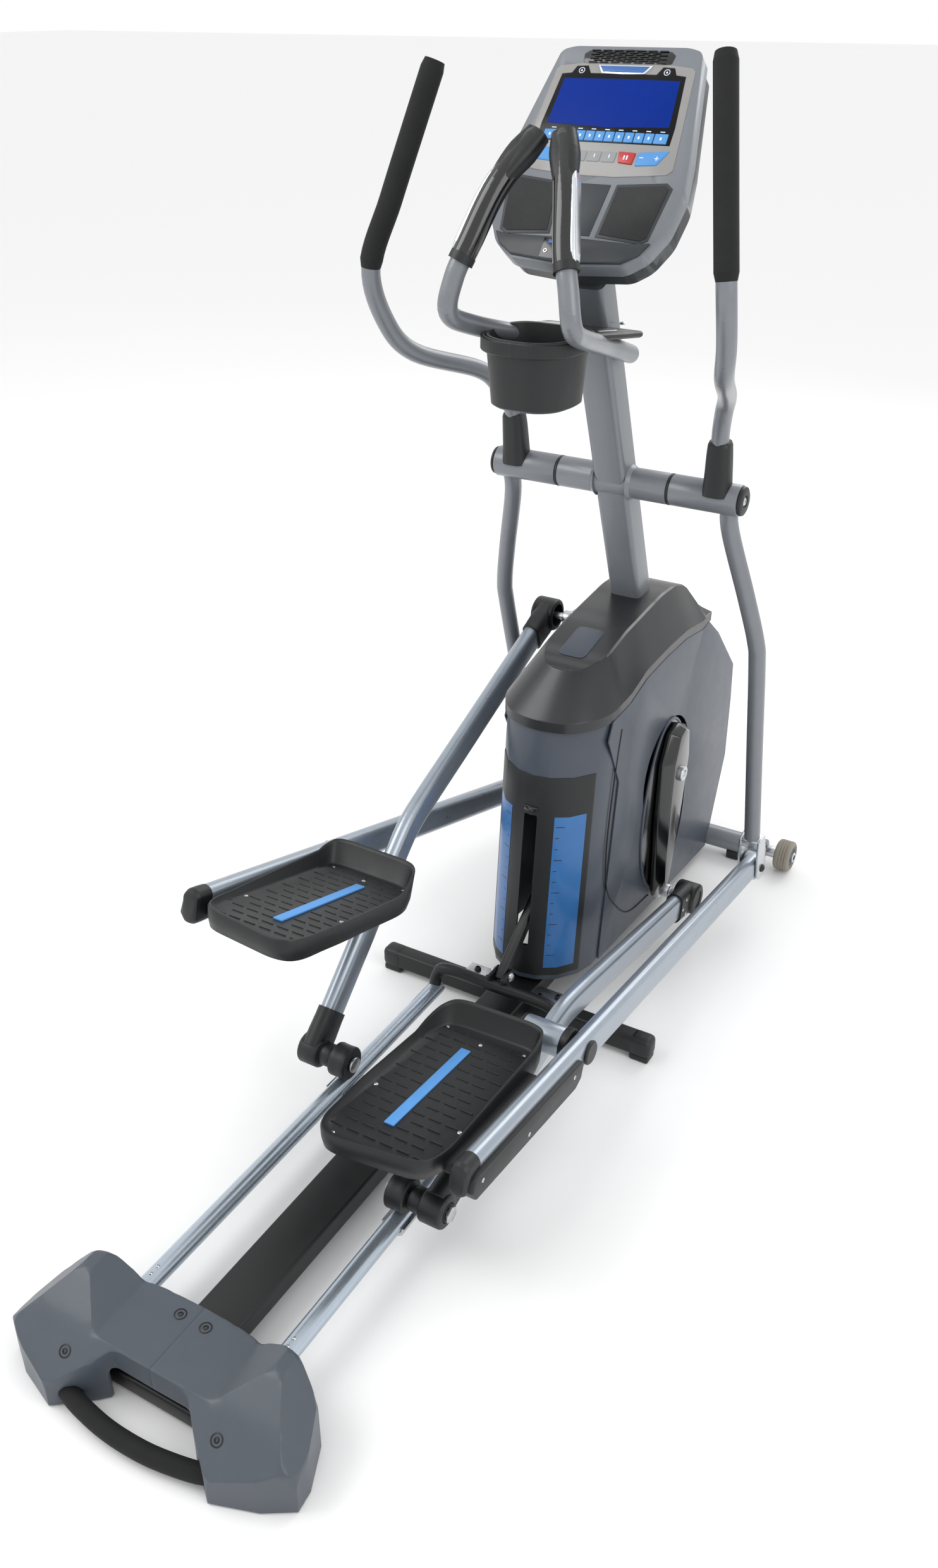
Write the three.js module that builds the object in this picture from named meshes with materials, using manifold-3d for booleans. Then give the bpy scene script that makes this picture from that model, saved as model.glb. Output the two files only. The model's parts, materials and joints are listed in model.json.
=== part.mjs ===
// Elliptical trainer in millimetres. +X is the user's right, +Y is forward, +Z is up, the floor is z = 0 and
// y = 0 is the axle of the swinging handles. The pose is the crank's rest pose with the incline at its
// lowest.
import * as THREE from "three";
import { mergeVertices } from "three/addons/utils/BufferGeometryUtils.js";
import Module from "manifold-3d";

// ---- driving dimensions ----
const GAP = 0.4; // between pieces that touch
const CLEARANCE = 0.6; // round a pin that turns in a bore

const CRANK = { y: 91, z: 377, throw: 281.6, axle: 12, restTurn: -6.3 };
// Everything is drawn from the handles' axle, then moved forward so that the origin is the middle of the
// floor area.
const MIDDLE_AHEAD = 529.5;
const ARM = { chord: 1047, bendAlong: 447, bendUp: 95, pivotAlong: 327, pivotUp: 130.6, x: 196, wide: 30,
  high: 60 };
const LINK = { front: 868, rear: 418, x: 288, wide: 32, high: 60, eye: 16 };
const SWING = { y: 0, z: 1013, radius: 908, x: 288, tube: 17, sleeve: 29, sleeveFrom: 117, sleeveTo: 249.5 };
const ROLLER = { z: 112, radius: 31.8, from: 114, to: 150, axle: 10 };
const RAIL = { x: 132, z: 64, radius: 16, pivotY: -1400, frontY: -445 };
const PIN = { radius: 7.5, housing: 34, bore: 24, from: 172, to: 222 };
const HOUSING = { radius: 30, boss: 22, from: 176, to: 220, bush: 16 };
const SPINE = { half: 42, bottom: 24, top: 64, front: 390, rear: -1420, wall: 4 };
const STABILISER = { y: 416, z: 40, radius: 25, half: 255 };
const WHEEL = { radius: 36.5, from: 283, to: 320, stub: 8 };
const CROSSBAR = { y: -365, deep: 36, bottom: 12, top: 52, half: 308 };
const MAST = { half: 33, deep: 64, bottom: 64.4, top: 1400, lean: 0.389, atAxle: 4, wall: 4 };
const AXLE = { radius: 29, half: 112, pin: 12, cap: 27, capTo: 258 };
const SHROUD = { half: 113, wall: 3, opening: 118 };
const PULLEY = { radius: 150, from: 44, to: 58 };
const FLYWHEEL = { y: 308, z: 230, radius: 105, from: 66, to: 88, stub: 10 };
const SLOT = { half: 14, bottom: 150, top: 440 };
const LIFT = { y: -415, z: 124, along: 215, up: 164, half: 10 };
const CONSOLE = { y: -112, z: 1617, tilt: 53.13, face: 30, back: 66 };
const BAR = { radius: 16, grip: 19.5 };
const HANDLE = { radius: 16, grip: 19 };

// ---- finishes ----
const PAINTED_GREY = { color: 0x9a9ea3, roughness: 0.42, metalness: 0.35 };
const SATIN_SILVER = { color: 0xb4b8bc, roughness: 0.34, metalness: 0.8 };
const GALVANISED = { color: 0xaeb1b3, roughness: 0.4, metalness: 0.75 };
const ZINC = { color: 0xc2c5c8, roughness: 0.35, metalness: 0.85 };
const BLACK_PAINT = { color: 0x1b1c1f, roughness: 0.5, metalness: 0.2 };
const BLACK_PLASTIC = { color: 0x202226, roughness: 0.6, metalness: 0 };
const GLOSS_BLACK = { color: 0x0c0d0f, roughness: 0.2, metalness: 0 };
const BLUE_GREY = { color: 0x434b5a, roughness: 0.5, metalness: 0.05 };
const CHARCOAL = { color: 0x35393f, roughness: 0.5, metalness: 0.05 };
const CONSOLE_GREY = { color: 0x8a9096, roughness: 0.42, metalness: 0.1 };
const FOAM = { color: 0x17181a, roughness: 0.9, metalness: 0 };
const RUBBER = { color: 0x8f8a80, roughness: 0.85, metalness: 0 };
const KEY_BLUE = { color: 0x9fc0de, roughness: 0.5, metalness: 0 };
const KEY_RED = { color: 0xb8322c, roughness: 0.45, metalness: 0 };
const IRON = { color: 0x4a4c50, roughness: 0.6, metalness: 0.7 };

// ---- shapes ----
const wasm = await Module();
wasm.setup();
const rad = THREE.MathUtils.degToRad;
const point = (x, y, z) => new THREE.Vector3(x, y, z);

/** A closed geometry as a manifold solid. */
function solid(geometry) {
  const loose = geometry.index ? geometry.toNonIndexed() : geometry;
  const bare = new THREE.BufferGeometry().setAttribute("position", loose.getAttribute("position"));
  const merged = mergeVertices(bare, 1e-3);
  const triVerts = new Uint32Array(merged.index.array);
  return new wasm.Manifold(
    new wasm.Mesh({ numProp: 3, vertProperties: merged.attributes.position.array, triVerts }),
  );
}

/** A manifold solid as a geometry. */
function geometryOf(body) {
  const mesh = body.getMesh();
  return new THREE.BufferGeometry()
    .setAttribute("position", new THREE.BufferAttribute(new Float32Array(mesh.vertProperties), 3))
    .setIndex(new THREE.BufferAttribute(new Uint32Array(mesh.triVerts), 1));
}

const join = (first, ...rest) => geometryOf(rest.reduce((sum, g) => sum.add(solid(g)), solid(first)));
const cut = (first, ...rest) => geometryOf(rest.reduce((sum, g) => sum.subtract(solid(g)), solid(first)));
const common = (first, ...rest) => geometryOf(rest.reduce((sum, g) => sum.intersect(solid(g)), solid(first)));

const box = (x0, x1, y0, y1, z0, z1) =>
  new THREE.BoxGeometry(x1 - x0, y1 - y0, z1 - z0).translate((x0 + x1) / 2, (y0 + y1) / 2, (z0 + z1) / 2);

/** A disc or shaft along X between x0 and x1, centred on (y, z). */
const disc = (radius, x0, x1, y = 0, z = 0, sides = 18) =>
  new THREE.CylinderGeometry(radius, radius, x1 - x0, sides)
    .rotateZ(Math.PI / 2)
    .translate((x0 + x1) / 2, y, z);

const vectors = (outline) => outline.map(([a, b]) => new THREE.Vector2(a, b));

/** An outline moved inwards by the wall thickness. */
function inset(outline, wall) {
  const corners = vectors(outline);
  if (THREE.ShapeUtils.isClockWise(corners)) corners.reverse();
  return corners.map((corner, i) => {
    const before = corner.clone().sub(corners.at(i - 1)).normalize();
    const after = corners[(i + 1) % corners.length].clone().sub(corner).normalize();
    const inward = new THREE.Vector2(-before.y - after.y, before.x + after.x);
    const moved = corner.clone().add(inward.multiplyScalar(wall / (1 + before.dot(after))));
    return [moved.x, moved.y];
  });
}

/** An outline extruded along its own +Z. */
const slab = (outline, depth) =>
  new THREE.ExtrudeGeometry(new THREE.Shape(vectors(outline)), { depth, bevelEnabled: false });

const prismZ = (outline, z0, z1) => slab(outline, z1 - z0).translate(0, 0, z0);

/** A (y, z) outline extruded from x0 to x1. */
const prismX = (outline, x0, x1) =>
  slab(outline, x1 - x0)
    .applyMatrix4(new THREE.Matrix4().makeBasis(point(0, 1, 0), point(0, 0, 1), point(1, 0, 0)))
    .translate(x0, 0, 0);

/** An (x, z) outline extruded from y0 to y1. */
const prismY = (outline, y0, y1) =>
  slab(outline, y1 - y0)
    .applyMatrix4(new THREE.Matrix4().makeBasis(point(1, 0, 0), point(0, 0, 1), point(0, -1, 0)))
    .translate(0, y1, 0);

/** A half outline of x >= 0 with its mirror image added. */
const bothSides = (half) => [...half, ...half.filter(([x]) => x > 0).reverse().map(([x, y]) => [-x, y])];

/** The outline of a round section. */
const round = (across, sides = 10) =>
  Array.from({ length: sides }, (_, i) => [
    (across / 2) * Math.cos((2 * Math.PI * i) / sides),
    (across / 2) * Math.sin((2 * Math.PI * i) / sides),
  ]);

/** The outline of a flat-sided section with half-round top and bottom. */
function flatOval(wide, high, sides = 12) {
  const straight = (high - wide) / 2;
  return Array.from({ length: sides }, (_, i) => {
    const turn = (2 * Math.PI * (i + 0.5)) / sides;
    const up = Math.sin(turn);
    return [(wide / 2) * Math.cos(turn), (wide / 2) * up + Math.sign(up) * straight];
  });
}

const curveOf = (points) =>
  points.length === 2 ? new THREE.LineCurve3(...points) : new THREE.CatmullRomCurve3(points);

/** A section carried along a straight or smooth path. */
const sweep = (points, section, steps = points.length === 2 ? 1 : 4 * points.length) =>
  new THREE.ExtrudeGeometry(new THREE.Shape(vectors(section)), {
    extrudePath: curveOf(points),
    steps,
    bevelEnabled: false,
  });

/** The last part of a smooth path, from the given share of its length. */
const tailOf = (points, from, count = 8) =>
  Array.from({ length: count + 1 }, (_, i) => curveOf(points).getPointAt(from + ((1 - from) * i) / count));

/** A geometry mirrored to the other side of the machine, its faces kept outwards. */
function mirrored(geometry) {
  const flipped = (geometry.index ? geometry.toNonIndexed() : geometry.clone()).scale(-1, 1, 1);
  const corners = flipped.getAttribute("position");
  for (let i = 0; i < corners.count; i += 3) {
    const a = point(0, 0, 0).fromBufferAttribute(corners, i);
    const b = point(0, 0, 0).fromBufferAttribute(corners, i + 1);
    corners.setXYZ(i, b.x, b.y, b.z);
    corners.setXYZ(i + 1, a.x, a.y, a.z);
  }
  return flipped;
}

/** A geometry drawn in a side-view frame, turned about X and moved to the frame's place. */
const placed = (geometry, frame) => geometry.clone().rotateX(frame.turn).translate(0, frame.y, frame.z);

const trainer = new THREE.Group();
trainer.name = "elliptical_trainer";

function part(name, geometry, finish) {
  const centred = geometry.clone().translate(0, MIDDLE_AHEAD, 0);
  const mesh = new THREE.Mesh(centred, new THREE.MeshStandardMaterial(finish));
  mesh.name = name;
  trainer.add(mesh);
}

// ---- base ----
const mastY = (z) => MAST.atAxle - MAST.lean * (z - SWING.z);

function mastOutline(grow, z0, z1) {
  const half = MAST.deep / 2 + grow;
  return [
    [mastY(z0) - half, z0],
    [mastY(z0) + half, z0],
    [mastY(z1) + half, z1],
    [mastY(z1) - half, z1],
  ];
}

function baseFrame() {
  const { half, bottom, top, front, rear, wall } = SPINE;
  const spine = cut(
    box(-half, half, rear, front, bottom, top),
    box(-half + wall, half - wall, rear - 5, front + 5, bottom + wall, top - wall),
  );
  const pieces = [box(-215, 215, -1440, -1400, 8, 40), box(-20, 20, 60, 122, top - 2, 402)];
  for (const side of [-1, 1]) {
    const place = (x0, x1, ...rest) => box(Math.min(side * x0, side * x1), Math.max(side * x0,
      side * x1), ...rest);
    const rod = [Math.min(side * 100, side * 164), Math.max(side * 100, side * 164)];
    pieces.push(
      place(100, 112, -1412, -1388, 36, 76),
      place(152, 164, -1412, -1388, 36, 76),
      disc(8, ...rod, RAIL.pivotY, RAIL.z),
      new THREE.CylinderGeometry(18, 18, 10, 20).rotateX(Math.PI / 2).translate(side * 200, -1420, 5),
      place(half - 3, 105, -375, -335, CROSSBAR.top + GAP, CROSSBAR.top + 4),
    );
  }
  return cut(join(spine, ...pieces), disc(CRANK.axle + CLEARANCE, -30, 30, CRANK.y, CRANK.z));
}

function frontStabiliser() {
  const { y, z, radius, half } = STABILISER;
  const pieces = [disc(radius, -half, half, y, z)];
  for (const side of [-1, 1]) {
    const span = (a, b) => (side > 0 ? [a, b] : [-b, -a]);
    pieces.push(
      box(...span(165, 195), y - 20, y + 20, 0, 22),
      disc(WHEEL.stub, ...span(half - 5, WHEEL.to + 2), y, z),
      disc(14, ...span(half - 1, WHEEL.from - 1), y, z),
      disc(13, ...span(WHEEL.to + 0.5, WHEEL.to + 4), y, z),
    );
  }
  return join(...pieces);
}

function midCrossbar() {
  const { y, deep, bottom, top, half } = CROSSBAR;
  const bar = box(-half, half, y - deep / 2, y + deep / 2, bottom, top);
  const pads = [-1, 1].map((side) => box(side * 285 - 18, side * 285 + 18, y - 16, y + 16, 0, bottom + 2));
  const passage = box(
    -SPINE.half - GAP, SPINE.half + GAP, y - deep, y + deep, SPINE.bottom - GAP, top + 5,
  );
  return cut(join(bar, ...pads), passage);
}

function mast() {
  const { half, bottom, top, wall } = MAST;
  const tube = cut(
    prismX(mastOutline(0, bottom, top), -half, half),
    prismX(mastOutline(-wall, bottom - 20, top + 20), -half + wall, half - wall),
  );
  const { y, z, stub, to } = FLYWHEEL;
  const axle = disc(stub, half - wall, to + 3, y, z);
  return cut(join(tube, axle, disc(15, to + 0.6, to + 4, y, z)), disc(AXLE.radius + GAP, -40, 40,
    SWING.y, SWING.z));
}

const crossAxle = () =>
  join(
    disc(AXLE.radius, -AXLE.half, AXLE.half, SWING.y, SWING.z),
    disc(AXLE.pin, -SWING.sleeveTo - 2, SWING.sleeveTo + 2, SWING.y, SWING.z),
    disc(AXLE.cap, SWING.sleeveTo + 1, AXLE.capTo, SWING.y, SWING.z),
    disc(AXLE.cap, -AXLE.capTo, -SWING.sleeveTo - 1, SWING.y, SWING.z),
  );

part("base_frame", baseFrame(), BLACK_PAINT);
part("front_stabiliser", frontStabiliser(), PAINTED_GREY);
part("mid_crossbar", midCrossbar(), BLACK_PAINT);
part("mast", mast(), PAINTED_GREY);
part("cross_axle", crossAxle(), SATIN_SILVER);

// ---- shroud ----
const SEAM = [[-200, 618], [-121, 624], [-48, 646], [53, 654], [153, 655], [243, 642], [274, 648]];
const LOWER = [[338, 599], [458, 476], [466, 385], [467, 236], [410, 80], [387, 23], [-208, 70]];
const REAR = [[-208, 89], [-175, 346], [-157, 467], [-216, 581]];

function shroudHalves() {
  const { half, wall, opening } = SHROUD;
  const outline = [...SEAM, ...LOWER, ...REAR];
  const body = cut(
    prismX(outline, -half, half),
    prismX(inset(outline, wall), -half + wall, half - wall),
    box(-half + wall, half - wall, -300, 380, 0, 90),
    box(-half + wall, half - wall, -300, 240, 560, 700),
    box(-half + wall, half - wall, -300, -120, 60, 620),
    disc(opening, -200, 200, CRANK.y, CRANK.z, 40),
    disc(STABILISER.radius + 1, -200, 200, STABILISER.y, STABILISER.z),
    prismX(mastOutline(2, 40, 120), -MAST.half - 1, MAST.half + 1),
    box(-SPINE.half - 1, SPINE.half + 1, 300, 420, 0, SPINE.top + 1),
  );
  return [common(body, box(GAP / 2, 300, -400, 600, 0, 800)), common(body, box(-300, -GAP / 2, -400, 600,
    0, 800))];
}

function topCap() {
  const seam = SEAM.map(([y, z]) => [y, z + 0.5]);
  const ridge = [[280, 668], [240, 735], [180, 755], [110, 757], [-60, 738], [-230, 700], [-299, 668],
    [-299, 618.5]];
  const plan = bothSides([[0, -299], [35, -294], [70, -278], [98, -240], [112, -190], [112, 285]]);
  const outer = common(prismX([...seam, ...ridge], -120, 120), prismZ(plan, 600, 800));
  const hollow = common(
    prismX([[-295, 500], [-295, 663], [-228, 695], [-60, 733], [110, 752], [180, 750], [236, 731], [272,
      500]], -108, 108),
    prismZ(inset(plan, 4), 500, 800),
  );
  return cut(outer, hollow, prismX(mastOutline(2, 500, 900), -MAST.half - 2, MAST.half + 2));
}

function inclinePanel() {
  const outside = [[0, -312], [35, -305], [70, -283], [98, -245], [109.5, -205], [109.5, -120]];
  const inside = [[105.5, -120], [105.5, -204], [94, -242], [67.5, -279], [33.5, -300], [0, -307.5]];
  const left = ([x, y]) => [-x, y];
  const band = [
    ...outside,
    ...inside,
    ...inside.slice(0, -1).reverse().map(left),
    ...outside.slice(1).reverse().map(left),
  ];
  const sheet = prismZ(band, 72, 617.5);
  const lean = new THREE.Matrix4().set(1, 0, 0, 0, 0, 1, 0.09, -0.09 * 437, 0, 0, 1, 0, 0, 0, 0, 1);
  return cut(sheet.applyMatrix4(lean), box(-SLOT.half, SLOT.half, -500, -200, SLOT.bottom, SLOT.top));
}

const [shroudRight, shroudLeft] = shroudHalves();
part("shroud_right", shroudRight, BLUE_GREY);
part("shroud_left", shroudLeft, BLUE_GREY);
part("top_cap", topCap(), CHARCOAL);
part("incline_panel", inclinePanel(), BLACK_PLASTIC);

// ---- rear cover and lift handle ----
const bowHalf = [point(150, -1441, 24), point(150, -1470, 23), point(128, -1492, 22), point(60, -1507, 22)];
const bow = [...bowHalf, point(0, -1511, 22), ...bowHalf.map((p) => point(-p.x, p.y, p.z)).reverse()];

function rearCovers() {
  const plan = bothSides([
    [0, -1325], [60, -1325], [182, -1337], [235, -1365], [263, -1429], [266, -1462], [222, -1490], [150,
      -1515],
    [93, -1470], [70, -1447], [0, -1447],
  ]);
  const front = bothSides([[0, 108], [110, 108], [170, 146], [190, 146], [240, 98], [266, 72], [266,
    -60], [0, -60]]);
  const side = [[-1325, -60], [-1325, 150], [-1375, 150], [-1440, 112], [-1515, 50], [-1515, -60]];
  const body = (outline, frontal, lateral, bottom) =>
    common(prismZ(outline, bottom, 170), prismY(frontal, -1540, -1300), prismX(lateral, -290, 290));
  const cover = cut(
    body(plan, front, side, 3),
    body(inset(plan, 4), inset(front, 4), inset(side, 4), -20),
    box(RAIL.x - 21, RAIL.x + 21, -1360, -1300, 40, 100),
    box(-RAIL.x - 21, -RAIL.x + 21, -1360, -1300, 40, 100),
    box(-SPINE.half - 1, SPINE.half + 1, -1360, -1300, -5, SPINE.top + 1),
    box(-80, 80, -1460, -1440, -5, SPINE.top + 1),
    sweep(bow, round(33), 16),
  );
  return [common(cover, box(GAP / 2, 300, -1600, -1200, 0, 200)), common(cover, box(-300, -GAP / 2,
    -1600, -1200, 0, 200))];
}

const [coverRight, coverLeft] = rearCovers();
part("rear_cover_right", coverRight, BLUE_GREY);
part("rear_cover_left", coverLeft, BLUE_GREY);
part("lift_handle", sweep(bow, round(30), 16), FOAM);

// ---- drive ----
const axleEnd = 117;
part(
  "drive_pulley",
  join(
    disc(CRANK.axle, -axleEnd, axleEnd, CRANK.y, CRANK.z),
    disc(PULLEY.radius, PULLEY.from, PULLEY.to, CRANK.y, CRANK.z, 40),
    disc(30, PULLEY.from - 16, PULLEY.to + 12, CRANK.y, CRANK.z),
  ),
  IRON,
);
part(
  "flywheel",
  cut(
    join(
      disc(FLYWHEEL.radius, FLYWHEEL.from, FLYWHEEL.to, FLYWHEEL.y, FLYWHEEL.z, 40),
      disc(22, PULLEY.from, FLYWHEEL.to, FLYWHEEL.y, FLYWHEEL.z),
    ),
    disc(FLYWHEEL.stub + CLEARANCE, 30, 100, FLYWHEEL.y, FLYWHEEL.z),
  ),
  IRON,
);
part("brake_magnet", box(MAST.half + GAP, 92, 262, 310, 341, 361), BLACK_PAINT);

// ---- ramp and lift ----
function rampFrame() {
  const { x, z, radius, pivotY, frontY } = RAIL;
  const frontZ = z + 48;
  const hoop = [
    point(-x, frontY - 14, z),
    point(-x, frontY - 1, frontZ - 18),
    point(-x + 22, frontY + 3, frontZ),
    point(0, frontY + 3, frontZ),
    point(x - 22, frontY + 3, frontZ),
    point(x, frontY - 1, frontZ - 18),
    point(x, frontY - 14, z),
  ];
  const pieces = [sweep(hoop, round(24), 20)];
  const bores = [];
  for (const side of [-1, 1]) {
    pieces.push(
      sweep([point(side * x, pivotY + 6, z), point(side * x, frontY, z)], round(2 * radius, 16)),
      disc(18, side * x - 16, side * x + 16, pivotY, z),
      box(side * 14.5 - 3.5, side * 14.5 + 3.5, LIFT.y - 30, LIFT.y + 10, frontZ - 6, LIFT.z + 10),
    );
    bores.push(disc(8 + CLEARANCE, side * x - 30, side * x + 30, pivotY, z));
  }
  pieces.push(disc(6, -17, 17, LIFT.y, LIFT.z));
  return cut(join(...pieces), ...bores);
}

function liftLink() {
  const { y, z, along, up, half } = LIFT;
  const dir = new THREE.Vector2(along, up).normalize();
  const side = new THREE.Vector2(-dir.y, dir.x).multiplyScalar(13);
  const start = new THREE.Vector2(y, z);
  const end = new THREE.Vector2(y + along, z + up);
  const bar = prismX(
    [start.clone().add(side), start.clone().sub(side), end.clone().sub(side),
      end.clone().add(side)].map((c) => [c.x, c.y]),
    -half,
    half,
  );
  return cut(join(bar, disc(13, -half, half, y, z)), disc(6 + CLEARANCE, -30, 30, y, z));
}

part("ramp_frame", rampFrame(), GALVANISED);
part("lift_link", liftLink(), BLACK_PAINT);
part(
  "lift_motor",
  join(box(-34, 34, -120, -50, SPINE.top + GAP, 130), disc(30, -60, 60, -85, 128)),
  BLACK_PAINT,
);

// ---- console ----
const consoleFrame = { y: CONSOLE.y, z: CONSOLE.z, turn: rad(CONSOLE.tilt) };
const faceOutline = bothSides([
  [0, 145], [100, 145], [124, 138], [140, 60], [158, -40], [165, -100], [156, -160], [132, -203], [100,
    -226], [0, -234],
]);

function consoleShell() {
  const front = prismZ(faceOutline, -CONSOLE.face, 0);
  return cut(front, box(-112, 112, 0, 95, -4, 5), box(-112, 112, -20.5, -0.5, -4, 5), box(69, 97, -54,
    -36, -9, 5));
}

function consoleBack() {
  const body = placed(prismZ(inset(faceOutline, 6), -CONSOLE.back, -CONSOLE.face - GAP), consoleFrame);
  return join(body, box(-28, 28, -172, -122, MAST.top + GAP, 1460));
}

part("console_shell", placed(consoleShell(), consoleFrame), CONSOLE_GREY);
part("console_back", consoleBack(), BLACK_PLASTIC);
part("display_glass", placed(box(-111.6, 111.6, 0.4, 94.6, -3.6, -0.4), consoleFrame), GLOSS_BLACK);
part("key_strip", placed(box(-111.6, 111.6, -20.1, -0.9, -3.6, 1), consoleFrame), KEY_BLUE);
part("stop_key", placed(box(70, 96, -53, -37, -5, 2), consoleFrame), KEY_RED);

// ---- fixed pulse bars and cup holder ----
const barPath = [
  point(51, -80, 1266), point(56, -150, 1288), point(64, -225, 1309), point(94, -370, 1350), point(107,
    -426, 1378),
  point(98, -424, 1430), point(82, -406, 1477), point(57, -361, 1558), point(22, -299, 1624),
];
const bar = sweep(barPath, round(2 * BAR.radius), 22);
const grip = cut(
  sweep(tailOf(barPath, 0.62), round(2 * BAR.grip), 9),
  sweep(barPath, round(2 * BAR.radius + 1.6), 22),
);
part("pulse_bar_right", bar, SATIN_SILVER);
part("pulse_bar_left", mirrored(bar), SATIN_SILVER);
part("pulse_grip_right", grip, GLOSS_BLACK);
part("pulse_grip_left", mirrored(grip), GLOSS_BLACK);

function cupHolder() {
  const bucket = bothSides([[0, -262], [60, -262], [78, -320], [72, -380], [38, -406], [0, -412]]);
  const outline = bucket;
  const tray = bothSides([[0, -148], [36, -148], [36, -112], [92, -118], [86, -200], [80, -300], [0, -300]]);
  const plate = tray;
  const slope = [[-100, 1297], [-310, 1326], [-310, 1336], [-100, 1307]];
  const grownBar = sweep(barPath, round(2 * BAR.radius + 3), 22);
  return cut(
    join(prismZ(outline, 1230, 1342), common(prismZ(plate, 1200, 1400), prismX(slope, -120, 120))),
    prismZ(inset(outline, 5), 1236, 1400),
    grownBar,
    mirrored(grownBar),
  );
}
part("cup_holder", cupHolder(), BLACK_PLASTIC);

// ---- linkage ----

/** The lower meeting point of two circles in the side view. */
function meet(p, rp, q, rq) {
  const gap = q.clone().sub(p);
  const d = gap.length();
  const along = (d * d + rp * rp - rq * rq) / (2 * d);
  const off = Math.sqrt(rp * rp - along * along);
  const foot = p.clone().addScaledVector(gap.divideScalar(d), along);
  const across = new THREE.Vector2(-gap.y, gap.x);
  const both = [foot.clone().addScaledVector(across, off), foot.clone().addScaledVector(across, -off)];
  return both.sort((a, b) => a.y - b.y)[0];
}

/** Where the crank pin, the roller axle, the pedal pivot and the swing's foot stand, as (y, z) points. */
function linkageAt(crankTurn) {
  const pin = new THREE.Vector2(
    CRANK.y + CRANK.throw * Math.sin(crankTurn),
    CRANK.z - CRANK.throw * Math.cos(crankTurn),
  );
  const rise = pin.y - ROLLER.z;
  const roller = new THREE.Vector2(pin.x - Math.sqrt(ARM.chord ** 2 - rise ** 2), ROLLER.z);
  const armTurn = Math.atan2(rise, pin.x - roller.x);
  const pivot = new THREE.Vector2(ARM.pivotAlong, ARM.pivotUp).rotateAround(new THREE.Vector2(),
    armTurn).add(roller);
  const foot = meet(new THREE.Vector2(SWING.y, SWING.z), SWING.radius, pivot, LINK.front);
  return {
    crank: { y: CRANK.y, z: CRANK.z, turn: crankTurn },
    arm: { y: roller.x, z: roller.y, turn: armTurn },
    link: { y: pivot.x, z: pivot.y, turn: Math.atan2(foot.y - pivot.y, foot.x - pivot.x) },
    swing: { y: SWING.y, z: SWING.z, turn: Math.atan2(foot.x - SWING.y, SWING.z - foot.y) },
  };
}

function crankArm() {
  const tip = -CRANK.throw;
  const web = prismX([[-24, -10], [-20, tip], [-12, tip - 20], [12, tip - 20], [20, tip], [24, -10], [14,
    24], [-14, 24]], 118, 140);
  return cut(
    join(web, disc(30, 100, 119, 0, 0), disc(PIN.radius, 139, PIN.to - 9, 0, tip)),
    disc(CRANK.axle + GAP, 90, axleEnd + GAP, 0, 0),
  );
}

const armRise = (along) => (ARM.bendUp * along) / ARM.bendAlong;
const armFall = (along) => (ARM.bendUp * (ARM.chord - along)) / (ARM.chord - ARM.bendAlong);

function pedalArm() {
  const { x, wide, high, chord, bendAlong, pivotAlong, pivotUp } = ARM;
  const at = (along, up) => point(x, along, up);
  const rear = [46, 190, 320, 390].map((along) => at(along, armRise(along)));
  const front = [510, 620, 800, chord - 46].map((along) => at(along, armFall(along)));
  const tube = sweep([...rear, at(bendAlong, ARM.bendUp - 4), ...front], flatOval(wide, high), 24);
  return join(
    tube,
    box(x - 14, x + 14, pivotAlong - 24, pivotAlong + 24, 82, pivotUp - 10),
    disc(28, 180, 262, pivotAlong, pivotUp),
    disc(10, 260, LINK.x + LINK.wide / 2 + 2, pivotAlong, pivotUp),
    disc(22, LINK.x + LINK.wide / 2 + GAP, LINK.x + LINK.wide / 2 + 6, pivotAlong, pivotUp),
  );
}

/** A moulded housing that takes the arm's end and turns on a pin along X. */
function armHousing(radius, x0, x1, at, away, slope) {
  const reach = (d) => point(ARM.x, at + away * d, slope * d);
  return cut(
    join(disc(radius, x0, x1, at, 0), sweep([reach(2), reach(78)], flatOval(ARM.wide + 8, ARM.high + 8))),
    sweep([reach(44), reach(90)], flatOval(ARM.wide + 2, ARM.high + 4)),
  );
}

function linkArm() {
  const { front, rear, x, wide, high, eye } = LINK;
  const length = (outline, y0, y1) => prismY(outline.map(([a, b]) => [x + a, b]), y0, y1);
  const bar = length(flatOval(wide, high), -rear, front);
  const hollow = length(flatOval(wide - 5, high - 5), -rear - 10, front - 60);
  return cut(
    join(cut(bar, hollow), disc(high / 2, x - wide / 2, x + wide / 2, front, 0), disc(20,
      x - wide / 2 + 1, x + wide / 2 - 1)),
    disc(eye, x - 30, x + 30, front, 0),
    disc(10 + CLEARANCE, x - 30, x + 30, 0, 0),
  );
}

function pedalTray() {
  const outline = [
    [60, -84], [80, -62], [236, -58], [252, -74], [255, -400], [238, -440], [80, -462], [52, -440], [44,
      -300], [46, -130],
  ];
  const front = [[-40, 58], [-58, 62], [-96, 52], [-150, 26], [-440, 24], [-470, 20], [-470, -18], [-430,
    -20], [-40, -10]];
  const outer = common(prismZ(outline, -40, 80), prismX(front, 0, 300));
  const well = prismZ(inset(outline, 8), 13, 90);
  return join(cut(outer, well), box(248, LINK.x - LINK.wide / 2 - GAP, -390, -120, -18, 8));
}

const sideCover = () =>
  prismX([[-32, 20], [-60, 27], [-400, 27], [-417, 12], [-417, -12], [-400, -27], [-60, -27], [-32, -20]],
    LINK.x + LINK.wide / 2 + GAP, LINK.x + LINK.wide / 2 + 8);

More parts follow.
